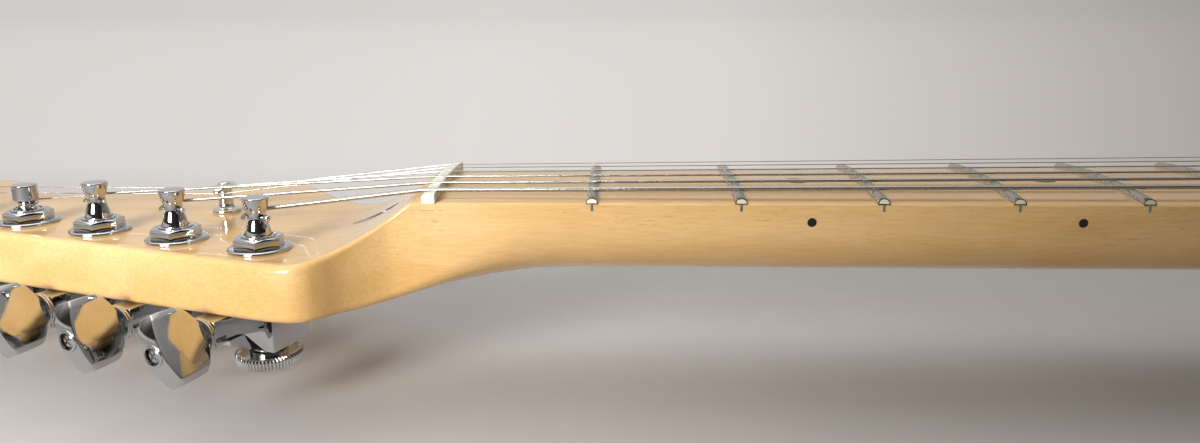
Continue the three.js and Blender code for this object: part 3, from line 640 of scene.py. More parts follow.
def add_piece(name, shell, material, body, nodes=(), matrix=None, angle=32):
    piece = body_from(name, shell)
    finish_mesh(piece.data, material, angle)
    return settle(piece, body, nodes, matrix)


def share_mesh(name, mesh, body, nodes, matrix):
    piece = bpy.data.objects.new(name, mesh)
    bpy.context.scene.collection.objects.link(piece)
    return settle(piece, body, nodes, matrix)


# Materials

class Nodes:
    """Short calls for a node tree's nodes and links."""

    def __init__(self, tree):
        self.tree = tree

    def add(self, kind, **settings):
        node = self.tree.nodes.new(kind)
        for name, value in settings.items():
            setattr(node, name, value)
        return node

    def put(self, socket, value):
        if isinstance(value, bpy.types.NodeSocket):
            self.tree.links.new(value, socket)
        elif hasattr(value, "__len__") and socket.type == "RGBA" and len(value) == 3:
            socket.default_value = (*value, 1)
        else:
            socket.default_value = value

    def math(self, operation, a, b=0.0, clamp=False):
        node = self.add("ShaderNodeMath", operation=operation, use_clamp=clamp)
        self.put(node.inputs[0], a)
        self.put(node.inputs[1], b)
        return node.outputs[0]

    def blend(self, share, a, b, mode="MIX"):
        node = self.add("ShaderNodeMix", data_type="RGBA", blend_type=mode)
        self.put(node.inputs[0], share)
        self.put(node.inputs[6], a)
        self.put(node.inputs[7], b)
        return node.outputs[2]

    def span(self, value, start, end, to_start=0.0, to_end=1.0):
        node = self.add("ShaderNodeMapRange", interpolation_type="SMOOTHSTEP")
        for socket, amount in zip(node.inputs, (value, start, end, to_start, to_end)):
            self.put(socket, amount)
        return node.outputs[0]

    def noise(self, vector, scale, detail=3.0, roughness=0.5, shift=(0, 0, 0)):
        mapping = self.add("ShaderNodeMapping")
        self.put(mapping.inputs["Vector"], vector)
        self.put(mapping.inputs["Scale"], scale)
        self.put(mapping.inputs["Location"], shift)
        node = self.add("ShaderNodeTexNoise")
        self.put(node.inputs["Vector"], mapping.outputs[0])
        self.put(node.inputs["Scale"], 1.0)
        self.put(node.inputs["Detail"], detail)
        self.put(node.inputs["Roughness"], roughness)
        return node.outputs["Fac"]

    def bump(self, height, distance, strength):
        node = self.add("ShaderNodeBump")
        self.put(node.inputs["Height"], height)
        self.put(node.inputs["Distance"], distance)
        self.put(node.inputs["Strength"], strength)
        return node.outputs[0]


def new_group(name, inputs, outputs):
    """A shader node group: its nodes, its input's outputs by name, and its output node."""
    group = bpy.data.node_groups.new(name, "ShaderNodeTree")
    for title, kind, value in inputs:
        socket = group.interface.new_socket(name=title, in_out="INPUT", socket_type=kind)
        socket.default_value = value
    for title, kind in outputs:
        group.interface.new_socket(name=title, in_out="OUTPUT", socket_type=kind)
    nodes = Nodes(group)
    return nodes, nodes.add("NodeGroupInput").outputs, nodes.add("NodeGroupOutput")


def wood_figure():
    """Growth lines, soft bands and short flecks that run along X."""
    white = (1, 1, 1, 1)
    nodes, given, out = new_group(
        "Wood Figure",
        [
            ("Light", "NodeSocketColor", white),
            ("Dark", "NodeSocketColor", white),
            ("Fleck", "NodeSocketColor", white),
            ("Fleck Amount", "NodeSocketFloat", 0.5),
            ("Contrast", "NodeSocketFloat", 0.5),
        ],
        [("Color", "NodeSocketColor"), ("Grain", "NodeSocketFloat")],
    )
    place = nodes.add("ShaderNodeTexCoord").outputs["Object"]
    bend = nodes.noise(place, (7, 26, 26), 2.0)
    mapping = nodes.add("ShaderNodeMapping")
    nodes.put(mapping.inputs["Vector"], place)
    nodes.put(mapping.inputs["Scale"], (1.6, 95, 62))
    moved = nodes.add("ShaderNodeVectorMath", operation="MULTIPLY_ADD")
    nodes.put(moved.inputs[0], bend)
    nodes.put(moved.inputs[1], (0, 4.2, 3.4))
    nodes.put(moved.inputs[2], mapping.outputs[0])
    rings = nodes.add("ShaderNodeTexNoise")
    nodes.put(rings.inputs["Vector"], moved.outputs[0])
    nodes.put(rings.inputs["Scale"], 1.0)
    nodes.put(rings.inputs["Detail"], 3.0)
    lines = nodes.span(rings.outputs["Fac"], 0.36, 0.66)
    bands = nodes.span(nodes.noise(place, (9, 30, 30), 2.0, shift=(3, 1, 7)), 0.3, 0.72)
    threads = nodes.span(nodes.noise(place, (150, 2200, 2200), 4.0, 0.65), 0.32, 0.7)
    tone = nodes.math("MULTIPLY", lines, 0.5)
    tone = nodes.math("ADD", nodes.math("MULTIPLY", bands, 0.35), tone)
    tone = nodes.math("ADD", tone, nodes.math("MULTIPLY", threads, 0.42))
    tone = nodes.math("MULTIPLY", tone, given["Contrast"], clamp=True)
    colour = nodes.blend(tone, given["Light"], given["Dark"])
    dashes = nodes.span(nodes.noise(place, (300, 2600, 2600), 1.0, shift=(5, 2, 9)), 0.665, 0.74)
    patches = nodes.span(nodes.noise(place, (40, 150, 150), 1.0, shift=(1, 8, 2)), 0.42, 0.62)
    fleck = nodes.math("MULTIPLY", nodes.math("MULTIPLY", dashes, patches), given["Fleck Amount"])
    colour = nodes.blend(fleck, colour, given["Fleck"])
    nodes.put(out.inputs["Color"], colour)
    nodes.put(out.inputs["Grain"], nodes.math("SUBTRACT", threads, fleck))
    return nodes.tree


def handling_marks():
    """Faint smears and hairline scratches, as a roughness and a height."""
    nodes, given, out = new_group(
        "Handling Marks",
        [
            ("Scale", "NodeSocketFloat", 1.0),
            ("Least", "NodeSocketFloat", 0.05),
            ("Most", "NodeSocketFloat", 0.12),
        ],
        [("Roughness", "NodeSocketFloat"), ("Scratches", "NodeSocketFloat")],
    )
    place = nodes.add("ShaderNodeTexCoord").outputs["Object"]
    sized = nodes.add("ShaderNodeVectorMath", operation="SCALE")
    nodes.put(sized.inputs[0], place)
    nodes.put(sized.inputs["Scale"], given["Scale"])
    spot = sized.outputs[0]
    smear = nodes.span(nodes.noise(spot, (140, 140, 140), 4.0, 0.6), 0.38, 0.72)
    fine = nodes.span(nodes.noise(spot, (90, 5200, 900), 2.0, shift=(2, 4, 1)), 0.62, 0.72)
    cross = nodes.span(nodes.noise(spot, (4300, 120, 1100), 2.0, shift=(7, 3, 5)), 0.64, 0.74)
    scratch = nodes.math("MAXIMUM", fine, cross)
    amount = nodes.math("ADD", nodes.math("MULTIPLY", smear, 0.7), nodes.math("MULTIPLY", scratch, 0.3))
    rough = nodes.add("ShaderNodeMapRange")
    nodes.put(rough.inputs["Value"], amount)
    nodes.put(rough.inputs["To Min"], given["Least"])
    nodes.put(rough.inputs["To Max"], given["Most"])
    nodes.put(out.inputs["Roughness"], rough.outputs[0])
    nodes.put(out.inputs["Scratches"], scratch)
    return nodes.tree


GROUPS = {}
MATERIALS = {}


def group_node(nodes, make, **values):
    """A node of a shared group, which is made the first time that it is asked for."""
    if make.__name__ not in GROUPS:
        GROUPS[make.__name__] = make()
    node = nodes.add("ShaderNodeGroup", node_tree=GROUPS[make.__name__])
    for name, value in values.items():
        nodes.put(node.inputs[name.replace("_", " ").title()], value)
    return node.outputs


def new_material(name, **sockets):
    """A material with one Principled shader, its plain values set on the shader itself."""
    material = bpy.data.materials.new(name)
    material.use_nodes = True
    nodes = Nodes(material.node_tree)
    shader = material.node_tree.nodes["Principled BSDF"]
    for title, value in sockets.items():
        nodes.put(shader.inputs[title.replace("_", " ")], value)
    MATERIALS[name] = material
    return nodes, shader.inputs


def wood_material(name, light, dark, fleck, fleck_amount, contrast, **sockets):
    nodes, shader = new_material(name, **sockets)
    wood = group_node(
        nodes, wood_figure, light=(*light, 1), dark=(*dark, 1), fleck=(*fleck, 1),
        fleck_amount=fleck_amount, contrast=contrast,
    )
    nodes.put(shader["Base Color"], wood["Color"])
    nodes.put(shader["Roughness"], nodes.span(wood["Grain"], 0.0, 1.0, 0.42, 0.52))
    lacquer = nodes.noise(nodes.add("ShaderNodeTexCoord").outputs["Object"], (60, 90, 90), 2.0)
    nodes.put(shader["Coat Weight"], nodes.span(lacquer, 0.2, 0.8, 0.9, 1.0))
    nodes.put(shader["Normal"], nodes.bump(wood["Grain"], 0.00001, 0.4))
    return nodes, shader


def metal_material(name, colour, least, most, scale=1.0, depth=0.000003, **sockets):
    nodes, shader = new_material(name, Metallic=1.0, **sockets)
    marks = group_node(nodes, handling_marks, scale=scale, least=least, most=most)
    place = nodes.add("ShaderNodeTexCoord").outputs["Object"]
    cloud = nodes.noise(place, (70, 70, 70), 3.0, shift=(4, 4, 4))
    dim = tuple(c * 0.93 for c in colour)
    nodes.put(shader["Base Color"], nodes.blend(nodes.span(cloud, 0.35, 0.7), colour, dim))
    nodes.put(shader["Roughness"], marks["Roughness"])
    nodes.put(shader["Normal"], nodes.bump(marks["Scratches"], depth, 0.5))
    return nodes, shader


def make_materials(scene):
    neck, tuners = scene.neck_looks, scene.tuner_looks
    wood_material(
        "lacquered maple", neck.maple_light, neck.maple_dark, neck.maple_fleck, 0.7, 0.95,
        Coat_Roughness=0.045, Specular_IOR_Level=0.3,
    )
    maple = tuple(neck.maple_light)
    wood_material(
        "filler", maple, tuple(c * 0.92 for c in maple), neck.maple_dark, 0.3, 0.6,
        Coat_Roughness=0.05, Specular_IOR_Level=0.3,
    )
    walnut = tuple(neck.walnut)
    wood_material(
        "walnut", walnut, tuple(c * 0.45 for c in walnut), tuple(c * 0.2 for c in walnut), 0.5, 1.0,
        Coat_Roughness=0.05, Specular_IOR_Level=0.3,
    )
    nodes, shader = new_material(
        "bone", Subsurface_Weight=0.15, Subsurface_Radius=(0.002, 0.0015, 0.001),
        Subsurface_Scale=0.3,
    )
    place = nodes.add("ShaderNodeTexCoord").outputs["Object"]
    cloud = nodes.span(nodes.noise(place, (300, 160, 300), 3.0), 0.3, 0.7)
    bone = tuple(scene.fret_looks.nut_colour)
    nodes.put(shader["Base Color"], nodes.blend(cloud, bone, tuple(c * 0.9 for c in bone)))
    streaks = nodes.noise(place, (500, 2500, 500), 2.0)
    nodes.put(shader["Roughness"], nodes.span(streaks, 0.3, 0.7, 0.3, 0.42))
    nodes.put(shader["Normal"], nodes.bump(nodes.noise(place, (900, 4000, 900), 2.0), 0.00001, 0.5))
    nodes, shader = new_material(
        "black dot", Coat_Weight=0.4, Coat_Roughness=0.08, Specular_IOR_Level=0.2,
    )
    place = nodes.add("ShaderNodeTexCoord").outputs["Object"]
    cloud = nodes.noise(place, (700, 700, 700), 3.0)
    nodes.put(shader["Base Color"], nodes.blend(cloud, (0.006, 0.006, 0.006), (0.018, 0.016, 0.014)))
    nodes.put(shader["Roughness"], nodes.span(cloud, 0.3, 0.7, 0.35, 0.5))
    plate = tuple(tuners.plate)
    metal_material("chrome", plate, 0.02, 0.07)
    metal_material("cast chrome", tuple(c * 0.97 for c in plate), 0.03, 0.12)
    metal_material("satin nickel", (0.62, 0.62, 0.61), 0.07, 0.16, 2.0, 0.000006)
    metal_material("turned steel", (0.58, 0.57, 0.55), 0.2, 0.34, 2.0, 0.000006)
    metal_material("screw steel", (0.5, 0.49, 0.48), 0.15, 0.3, 3.0, 0.000006)
    metal_material("fret nickel", (0.42, 0.40, 0.335), 0.2, 0.34, 2.0, 0.000006)
    _, shader = metal_material("filed nickel", (0.86, 0.84, 0.62), 0.42, 0.6, 4.0, 0.00001)
    shader["Metallic"].default_value = 0.25
    metal_material("tree nickel", (0.72, 0.71, 0.69), 0.07, 0.2, 2.0, 0.000005)
    metal_material("plain string", tuple(scene.string_looks.steel), 0.14, 0.24, 3.0)
    winding = tuple(scene.string_looks.winding)
    nodes, shader = metal_material("wound string", winding, 0.2, 0.36, 3.0)
    wave = nodes.add("ShaderNodeTexWave", wave_type="BANDS", bands_direction="X", wave_profile="SIN")
    place = nodes.add("ShaderNodeTexCoord").outputs["Object"]
    nodes.put(wave.inputs["Vector"], place)
    nodes.put(wave.inputs["Scale"], WINDING_SCALE)
    nodes.put(shader["Normal"], nodes.bump(wave.outputs["Fac"], 0.00003, 0.35))
    # Painted shade: between the winding's turns the colour is darker than on their crests.
    crest_over_painted_groove_shade = nodes.span(wave.outputs["Fac"], 0.0, 0.45)
    nodes.put(shader["Base Color"], nodes.blend(crest_over_painted_groove_shade, (0.34, 0.31, 0.27), winding))


# Neck

def neck_stations():
    def span(start, end, steps):
        return start + (end - start) * np.arange(steps) / steps

    closing = 1 - np.cos(mix(0.02, 1, np.arange(70) / 70) * math.pi / 2)
    tip_end = TIP + HEAD_LENGTH * 0.2
    return np.concatenate([
        TIP + (tip_end - TIP) * closing,
        span(tip_end, NUT_FACE, 240),
        span(NUT_FACE, THROAT_END, 34),
        span(THROAT_END, TAPER_START, 60),
        span(TAPER_START, HEEL_START, 24),
        span(HEEL_START, BOARD_END, 20),
        [BOARD_END],
    ])


def neck_shell(columns):
    x = neck_stations()
    share = (1 - np.cos(math.pi * np.arange(columns + 1) / columns)) / 2
    left, right = edge_y(x, -1)[:, None], edge_y(x, 1)[:, None]
    y = mix(left, right, share)
    spread = np.repeat(x[:, None], columns + 1, 1)
    distance = edge_distance(spread.ravel(), y.ravel()).reshape(y.shape)
    distance[:, [0, -1]] = 0
    top = np.stack([spread, y, top_height(spread, y, distance)], 2)
    bottom = np.stack([spread, y, bottom_height(spread, y, distance)], 2)
    return loft(np.concatenate([top, bottom[:, ::-1]], 1))


def stadium(start, end, width, steps=10):
    """A bar's outline in plan along X, with round ends."""
    radius = width / 2
    turns = np.linspace(-math.pi / 2, math.pi / 2, steps)
    right = [(end - radius + radius * math.cos(t), radius * math.sin(t)) for t in turns]
    left = [(start + radius - radius * math.cos(t), -radius * math.sin(t)) for t in turns]
    return np.array(right + left)


def stripe_top(x):
    return back_height(x) + STRIPE_DEPTH


def neck_cutters():
    edge = float(board_height(half_width(NUT_FACE)))
    tongue = float(board_height(half_width(HEEL_END))) - TONGUE_THICKNESS
    ring = stadium(STRIPE_START, STRIPE_END, STRIPE_WIDTH + FIT_GAP)
    cutters = [
        block((NUT_BACK - 0.03, -40, edge - NUT_SEAT), (NUT_FACE + 0.03, 40, 40)),
        block((HEEL_END, -40, -2), (BOARD_END + 2, 40, tongue)),
        along_x(rod(PLUG_WIDTH + FIT_GAP, SCOOP_END - 2, PLUG_END), 0, PLUG_HEIGHT),
        loft([np.column_stack([ring, np.full(len(ring), -2.0)]),
              np.column_stack([ring, stripe_top(ring[:, 0])])]),
    ]
    for place in PLACES:
        cutters.append(placed(rod(TUNER_HOLE_WIDTH, -2, HEAD_THICKNESS + 2), shift=(*place, 0)))
    for x in (-1, 1):
        for y in (-1, 1):
            hole = rod(PILOT_WIDTH, -2, PILOT_DEPTH, 24)
            cutters.append(placed(hole, shift=(x * SCREW_SPACING[0] / 2, y * SCREW_SPACING[1] / 2, 0)))
    return joined(*cutters)


def grid_shell(x, y, first, second):
    """A closed shell over a grid of places, between two surfaces given as functions of x and y."""
    spread, across = np.meshgrid(x, y, indexing="ij")
    skins = [np.stack([spread, across, height(spread, across)], 2) for height in (first, second)]
    return loft(np.concatenate([skins[0], skins[1][:, ::-1]], 1))


def scoop_surface(x, y):
    return top_height(x, y, np.full(x.shape, 50.0))


def back_surface(x, y):
    return bottom_height(x, y, edge_distance(x.ravel(), y.ravel()).reshape(x.shape))


class GUITARNECK_OT_neck(Operator):
    """Builds the maple neck, with its scoop, slots and holes"""

    bl_idname = "guitar_neck.neck"
    bl_label = "Neck"

    def execute(self, context):
        neck = body_from("neck_wood", neck_shell(context.scene.neck_looks.columns))
        combine(neck, neck_cutters())
        finish_mesh(neck.data, MATERIALS["lacquered maple"], 40)
        settle(neck, "neck", ["neck"])
        return {"FINISHED"}


class GUITARNECK_OT_truss_rod(Operator):
    """Builds the walnut plug and stripe, and finishes the truss rod"""

    bl_idname = "guitar_neck.truss_rod"
    bl_label = "Truss Rod, Plug and Stripe"

    def execute(self, context):
        walnut = MATERIALS["walnut"]
        round_plug = rod(PLUG_WIDTH, SCOOP_END - 1, PLUG_END - 0.1, 64)
        plug = body_from("rod_plug", along_x(round_plug, 0, PLUG_HEIGHT))
        x, y = np.linspace(SCOOP_END - 2, PLUG_END + 3, 90), np.linspace(-8, 8, 33)
        under_scoop = grid_shell(x, y, scoop_surface, lambda x, y: np.zeros(x.shape))
        combine(plug, under_scoop, "INTERSECT")
        combine(plug, along_x(rod(PLUG_BORE, SCOOP_END - 4, PLUG_END + 4, 40), 0, PLUG_HEIGHT))
        finish_mesh(plug.data, walnut, 40)
        settle(plug, "neck", ["truss_rod_plug"])
        reach = STRIPE_WIDTH / 2 + 1
        x, y = np.linspace(STRIPE_START, STRIPE_END, 130), np.linspace(-reach, reach, 13)
        slab = grid_shell(x, y, back_surface, lambda x, y: stripe_top(x))
        stripe = body_from("back_stripe", slab)
        ring = stadium(STRIPE_START, STRIPE_END, STRIPE_WIDTH)
        bar = loft([np.column_stack([ring, np.full(len(ring), z)]) for z in (-5.0, 40.0)])
        combine(stripe, bar, "INTERSECT")
        finish_mesh(stripe.data, walnut, 40)
        settle(stripe, "neck", ["skunk_stripe"])
        rod_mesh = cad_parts["truss_rod"].data
        rod_mesh.materials.clear()
        rod_mesh.materials.append(MATERIALS["turned steel"])
        return {"FINISHED"}


# Frets, dots and nut

def fret_reach(half, rise):
    """How far from the board's middle a fret reaches, at a height over the board."""
    return half - 0.08 - 0.16 * rise - 0.1 * rise ** 3


def fret_shell(number, width, height):
    """A crowned bar that follows the board's camber, with bevelled ends, and its tang."""
    x = fret_x(number)
    half = float(half_width(x))
    turns = np.linspace(0, math.pi, 13)
    crown = np.column_stack([np.cos(turns) * width / 2, np.sin(turns) ** 0.8 * height])
    profile = np.vstack([[width / 2, -FRET_SKIRT], crown, [-width / 2, -FRET_SKIRT]])
    rings = []
    for share in np.sin(np.linspace(-math.pi / 2, math.pi / 2, 41)):
        y = share * fret_reach(half, np.maximum(profile[:, 1], 0))
        rings.append(np.column_stack([x + profile[:, 0], y, board_height(y) + profile[:, 1]]))
    tang = []
    side = TANG_WIDTH / 2
    for y in np.linspace(-half - 0.02, half + 0.02, 15):
        section = ((-side, -0.05), (-side, -TANG_DEPTH), (side, -TANG_DEPTH), (side, -0.05))
        tang.append([(x + a, y, board_height(y) + b) for a, b in section])
    return joined(loft(rings), loft(tang))


def fret_end(number, side, width, height):
    """The filed face of a fret's end, a little smaller than its section."""
    x = fret_x(number)
    half = float(half_width(x))
    turns = np.linspace(0, math.pi, 13)
    rise = 0.12 + np.sin(turns) ** 0.8 * height * 0.74
    outline = np.column_stack([np.cos(turns) * width * 0.4, rise])
    rings = []
    for lift in (-0.1, 0.04):
        y = fret_reach(half, rise) + lift
        rings.append(np.column_stack([x + outline[:, 0], side * y, board_height(y) + rise]))
    return loft(rings)


def face_dot(x, y, width):
    rings = []
    lifts = (-0.6, 0.0, DOT_LIFT, DOT_LIFT, DOT_LIFT)
    for reach, lift in zip((0.5, 0.5, 0.46, 0.3, 0.15), lifts):
        ring = circle(width * reach * 2, 40) + (x, y)
        rings.append(np.column_stack([ring, board_height(ring[:, 1]) + lift]))
    return loft(rings)


def side_dot(x, drop, width):
    rings = []
    lifts = (-0.6, 0.0, DOT_LIFT, DOT_LIFT, DOT_LIFT)
    for reach, lift in zip((1.0, 1.0, 0.9, 0.6, 0.3), lifts):
        ring = circle(width * reach, 28)
        xs = x + ring[:, 0]
        half = half_width(xs)
        z = board_height(half) - drop + ring[:, 1]
        shoulder = board_height(half) - BOARD_SIDE_DEPTH
        depth = np.maximum(shoulder - z, 0) / (shoulder - back_height(xs))
        side = half * (1 - depth ** 2) ** (1 / BACK_FULLNESS)
        rings.append(np.column_stack([xs, -side - lift, z]))
    return loft(rings)


class GUITARNECK_OT_frets(Operator):
    """Builds the frets and the black dots between them"""

    bl_idname = "guitar_neck.frets"
    bl_label = "Frets and Dots"

    def execute(self, context):
        looks = context.scene.fret_looks
        width, height = looks.width / MM, looks.height / MM
        nickel, filed, black = (MATERIALS[name] for name in ("fret nickel", "filed nickel", "black dot"))
        ends = []
        for number in range(1, FRETS + 1):
            shell = fret_shell(number, width, height)
            add_piece(f"fret_{number}", shell, nickel, "neck")
            ends += [fret_end(number, side, width, height) for side in (-1, 1)]
        add_piece("fret_ends", joined(*ends), filed, "neck", angle=20)
        for number in DOT_FRETS:
            x = (fret_x(number - 1) + fret_x(number)) / 2
            twins = (-1, 1) if number == DOUBLE_DOT_FRET else (0,)
            faces = [face_dot(x, side * DOUBLE_DOT_SIDE, looks.dot_width / MM) for side in twins]
            add_piece(f"face_dot_{number}", joined(*faces), black, "neck")
            sides = [
                side_dot(x + side * DOUBLE_DOT_RUN, SIDE_DOT_DROP, looks.side_dot_width / MM)
                for side in twins
            ]
            add_piece(f"side_dot_{number}", joined(*sides), black, "neck")
        return {"FINISHED"}


def nut_string_y(index):
    return NUT_SPAN * (index / (TUNERS - 1) - 0.5)


class GUITARNECK_OT_nut(Operator):
    """Builds the bone nut with a round slot for each string"""

    bl_idname = "guitar_neck.nut"
    bl_label = "Nut"

    def execute(self, context):
        half = float(half_width(NUT_FACE)) - 0.05
        floor = float(board_height(half)) - NUT_SEAT + 0.05
        rings = []
        for y in np.linspace(-half, half, 57):
            crown = float(board_height(y)) + NUT_RISE
            rings.append([
                (NUT_BACK, y, floor), (NUT_FACE, y, floor),
                (NUT_FACE, y, crown), (NUT_BACK, y, crown - 0.45),
            ])
        nut = body_from("string_nut", loft(rings))
        soften(nut, NUT_ROUND, 4, 30)
        cutters = []
        for index, width in enumerate(STRING_WIDTHS):
            y = nut_string_y(index)
            bottom = float(board_height(y)) + STRING_NUT_HEIGHT + width / 2
            reach = width / 2 + NUT_SLOT_PLAY
            turns = np.linspace(math.pi, math.tau, 9)
            outline = [(reach * math.cos(t), reach * math.sin(t)) for t in turns]
            outline += [(reach * 1.5, 3), (-reach * 1.5, 3)]
            ends = (NUT_BACK - 1, NUT_FACE + 1)
            cutters.append(loft([[(x, y + a, bottom + b) for a, b in outline] for x in ends]))
        edge = float(board_height(half))
        patches = []
        for side in (-1, 1):
            cutters.append(block(
                (NUT_BACK - 1, side * (half - 0.4), edge - 4),
                (NUT_FACE + 1, side * (half + 1), edge - 0.1),
            ))
            patches.append(block(
                (NUT_BACK - 0.02, side * (half - NUT_FILLER), floor),
                (NUT_FACE + 0.02, side * (half + 0.07), edge - 0.12),
            ))
        combine(nut, joined(*cutters))
        filler = MATERIALS["filler"]
        add_piece("nut_slot_fillers", joined(*patches), filler, "neck")
        finish_mesh(nut.data, MATERIALS["bone"], 34)
        settle(nut, "neck", ["nut"])
        return {"FINISHED"}


# Strings

def string_point(index, x):
    bridge_y = BRIDGE_SPAN * (index / (TUNERS - 1) - 0.5)
    y = mix(nut_string_y(index), bridge_y, (x - NUT_FACE) / SCALE_LENGTH)
    octave = (x - NUT_FACE) / (fret_x(12) - NUT_FACE)
    under = board_height(nut_string_y(index)) + mix(STRING_NUT_HEIGHT, STRING_OCTAVE_HEIGHT, octave)
    return np.array([x, y, under + STRING_WIDTHS[index] / 2])


def wrap_start(index, start):
    away = np.array(start[:2]) - PLACES[index]
    radius = (POST_WAIST + STRING_WIDTHS[index]) / 2 + WRAP_GAP
    return math.atan2(away[1], away[0]) % math.tau + math.acos(radius / np.hypot(*away))


def wrap_point(index, angle, share):
    radius = (POST_WAIST + STRING_WIDTHS[index]) / 2 + WRAP_GAP
    x, y = PLACES[index] + radius * np.array([math.cos(angle), math.sin(angle)])
    return np.array([x, y, HEAD_THICKNESS + WRAP_HEIGHTS[index] - share * HOLE_DROP])


def tree_point(index):
    x = NUT_FACE - TREE_BACK
    nut = string_point(index, NUT_BACK)
    post = wrap_point(index, wrap_start(index, nut), 0)
    y = mix(nut[1], post[1], (x - nut[0]) / (post[0] - nut[0]))
    return np.array([x, y, HEAD_THICKNESS + TREE_STRING_HEIGHT])


def string_route(index):
    route = [string_point(index, x) for x in (BOARD_END + STRING_OVERHANG, NUT_FACE, NUT_BACK)]
    if index in TREE_STRINGS:
        route.append(tree_point(index))
    start = wrap_start(index, route[-1])
    for share in np.linspace(0, 1, 29):
        route.append(wrap_point(index, mix(start, WRAP_END, share), share))
    return np.array(route)


def eased(route):
    """The route with its corners turned over a short bend, and points along its straights."""
    spots = rounded(route, STRING_BEND, 4)
    made = [spots[0]]
    for spot in spots[1:]:
        length = np.linalg.norm(spot - made[-1])
        if length < 0.02:
            continue
        start, pieces = made[-1], max(1, int(length // 12))
        made += [mix(start, spot, (i + 1) / pieces) for i in range(pieces)]
    return np.array(made)


def ball_end(index):
    """The spool-shaped ball at the string's far end."""
    spot = string_route(index)[0]
    spool = [(0.7, -1.7), (1.9, -1.7), (1.45, -0.8), (1.45, 0.8), (1.9, 1.7), (0.7, 1.7)]
    profile = rounded(spool, 0.3, 3, closed=True)
    return placed(turned(profile, 36, closed=True), math.pi / 2, "X", spot)


class GUITARNECK_OT_strings(Operator):
    """Builds the six strings with their ball ends"""

    bl_idname = "guitar_neck.strings"
    bl_label = "Strings"

    def execute(self, context):
        for index, width in enumerate(STRING_WIDTHS):
            wound = index < WOUND_STRINGS
            number = index + 1
            route = eased(string_route(index))[::-1]
            material = MATERIALS["wound string" if wound else "plain string"]
            sides = 16 if wound else 12
            string = add_piece(
                f"string_{number}_wire", tube(route, width, sides), material, "neck",
                [f"string_{number}"], angle=60,
            )
            ball = add_piece(
                f"string_{number}_ball", ball_end(index), MATERIALS["fret nickel"], "neck",
            )
        return {"FINISHED"}


# String tree

class GUITARNECK_OT_string_tree(Operator):
    """Builds the string tree that holds the two thinnest strings down"""

    bl_idname = "guitar_neck.string_tree"
    bl_label = "String Tree"

    def execute(self, context):
        spots = [tree_point(index) for index in TREE_STRINGS]
        reach = (spots[1][1] - spots[0][1]) / 2 + 2.2
        bottom = TREE_STRING_HEIGHT + STRING_WIDTHS[TREE_STRINGS[0]] / 2 + 0.12
        turns = np.arange(20) * math.tau / 20
        outline = np.stack([np.cos(turns), np.sin(turns)], 1)
        outline = np.sign(outline) * np.abs(outline) ** 0.7
        rings = []
        for share in np.sin(np.linspace(-math.pi / 2, math.pi / 2, 45)[1:-1]):
            tip = math.sqrt(1 - max(0.0, (abs(share) - 0.78) / 0.22) ** 2)
            drop = 0.55 * share ** 2 + 0.5 * max(0.0, (abs(share) - 0.7) / 0.3) ** 2
            wide = mix(2.3, 1.3, smooth(abs(share))) * tip
            ring = outline * (wide, 0.68 * tip)
            z = bottom + TREE_BAR_RISE - drop + ring[:, 1]
            rings.append(np.column_stack([ring[:, 0], np.full(20, share * reach), z]))
        bar = body_from("string_tree_bar", loft(rings))
        foot = [
            (0, 0), (3.8, 0), (3.8, 0.9), (2.4, 1.2), (1.9, 2.2), (1.9, bottom + 1), (0, bottom + 1),
        ]
        combine(bar, turned(rounded(foot, 0.35, 3), 48), "UNION")
        top = bottom + TREE_SCREW_RISE
        head = [(0, top - 0.4), (1.6, top - 0.4), (1.6, top + 0.2), (1.1, top + 0.45), (0, top + 0.5)]
        combine(bar, turned(rounded(head, 0.2, 3), 40), "UNION")
        combine(bar, joined(
            block((-1.1, -0.18, top + 0.1), (1.1, 0.18, top + 2)),
            block((-0.18, -1.1, top + 0.1), (0.18, 1.1, top + 2)),
        ))
        finish_mesh(bar.data, MATERIALS["tree nickel"], 34)
        middle = (spots[0] + spots[1]) / 2
        place = Matrix.Translation(Vector((middle[0], middle[1], HEAD_THICKNESS)) * MM)
        settle(bar, "neck", ["string_tree"], place)
        return {"FINISHED"}


# Tuner pieces, about the post's axis with Z = 0 on the head's face and the button along -Y

def tuner_matrix(index):
    x, y = PLACES[index]
    return Matrix.Translation(Vector((x, y, HEAD_THICKNESS)) * MM) @ Matrix.Rotation(-LINE_ANGLE, 4, "Z")


def knob_matrix(index):
    shift = Matrix.Translation(Vector((-SHAFT_OFFSET, 0, SHAFT_Z)) * MM)
    return tuner_matrix(index) @ shift @ Matrix.Rotation(-BUTTON_TILTS[index], 4, "Y")


def washer_mesh():
    inner, outer = WASHER_BORE / 2, WASHER_WIDTH / 2
    section = [
        (inner, 0.0), (outer, 0.0), (outer, 0.55),
        (outer - 0.35, WASHER_THICKNESS), (inner, WASHER_THICKNESS),
    ]
    profile = rounded(section, 0.2, 3, closed=True)
    return body_from("washer", turned(profile, 96, closed=True))


def bushing_mesh():
    over_corners = HEX_WIDTH / math.cos(math.pi / 6)
    nut = body_from("bushing", rod(over_corners, WASHER_THICKNESS, HEX_TOP, 6))
    dome = [(0, 0), (7, 0), (6.2, WASHER_THICKNESS), (6.2, 2.75), (5.0, HEX_TOP), (0, HEX_TOP)]
    combine(nut, turned(dome, 96), "INTERSECT")
    lip = [(0, 2.8), (4.15, 2.8), (4.15, BUSHING_LIP_TOP), (0, BUSHING_LIP_TOP)]
    combine(nut, turned(rounded(lip, 0.25, 3), 64), "UNION")
    combine(nut, rod(BUSHING_WIDTH, -9.5, 2.4, 48), "UNION")
    combine(nut, rod(BUSHING_BORE, -12, 6, 64))
    soften(nut, 0.14, 2, 25)
    return nut


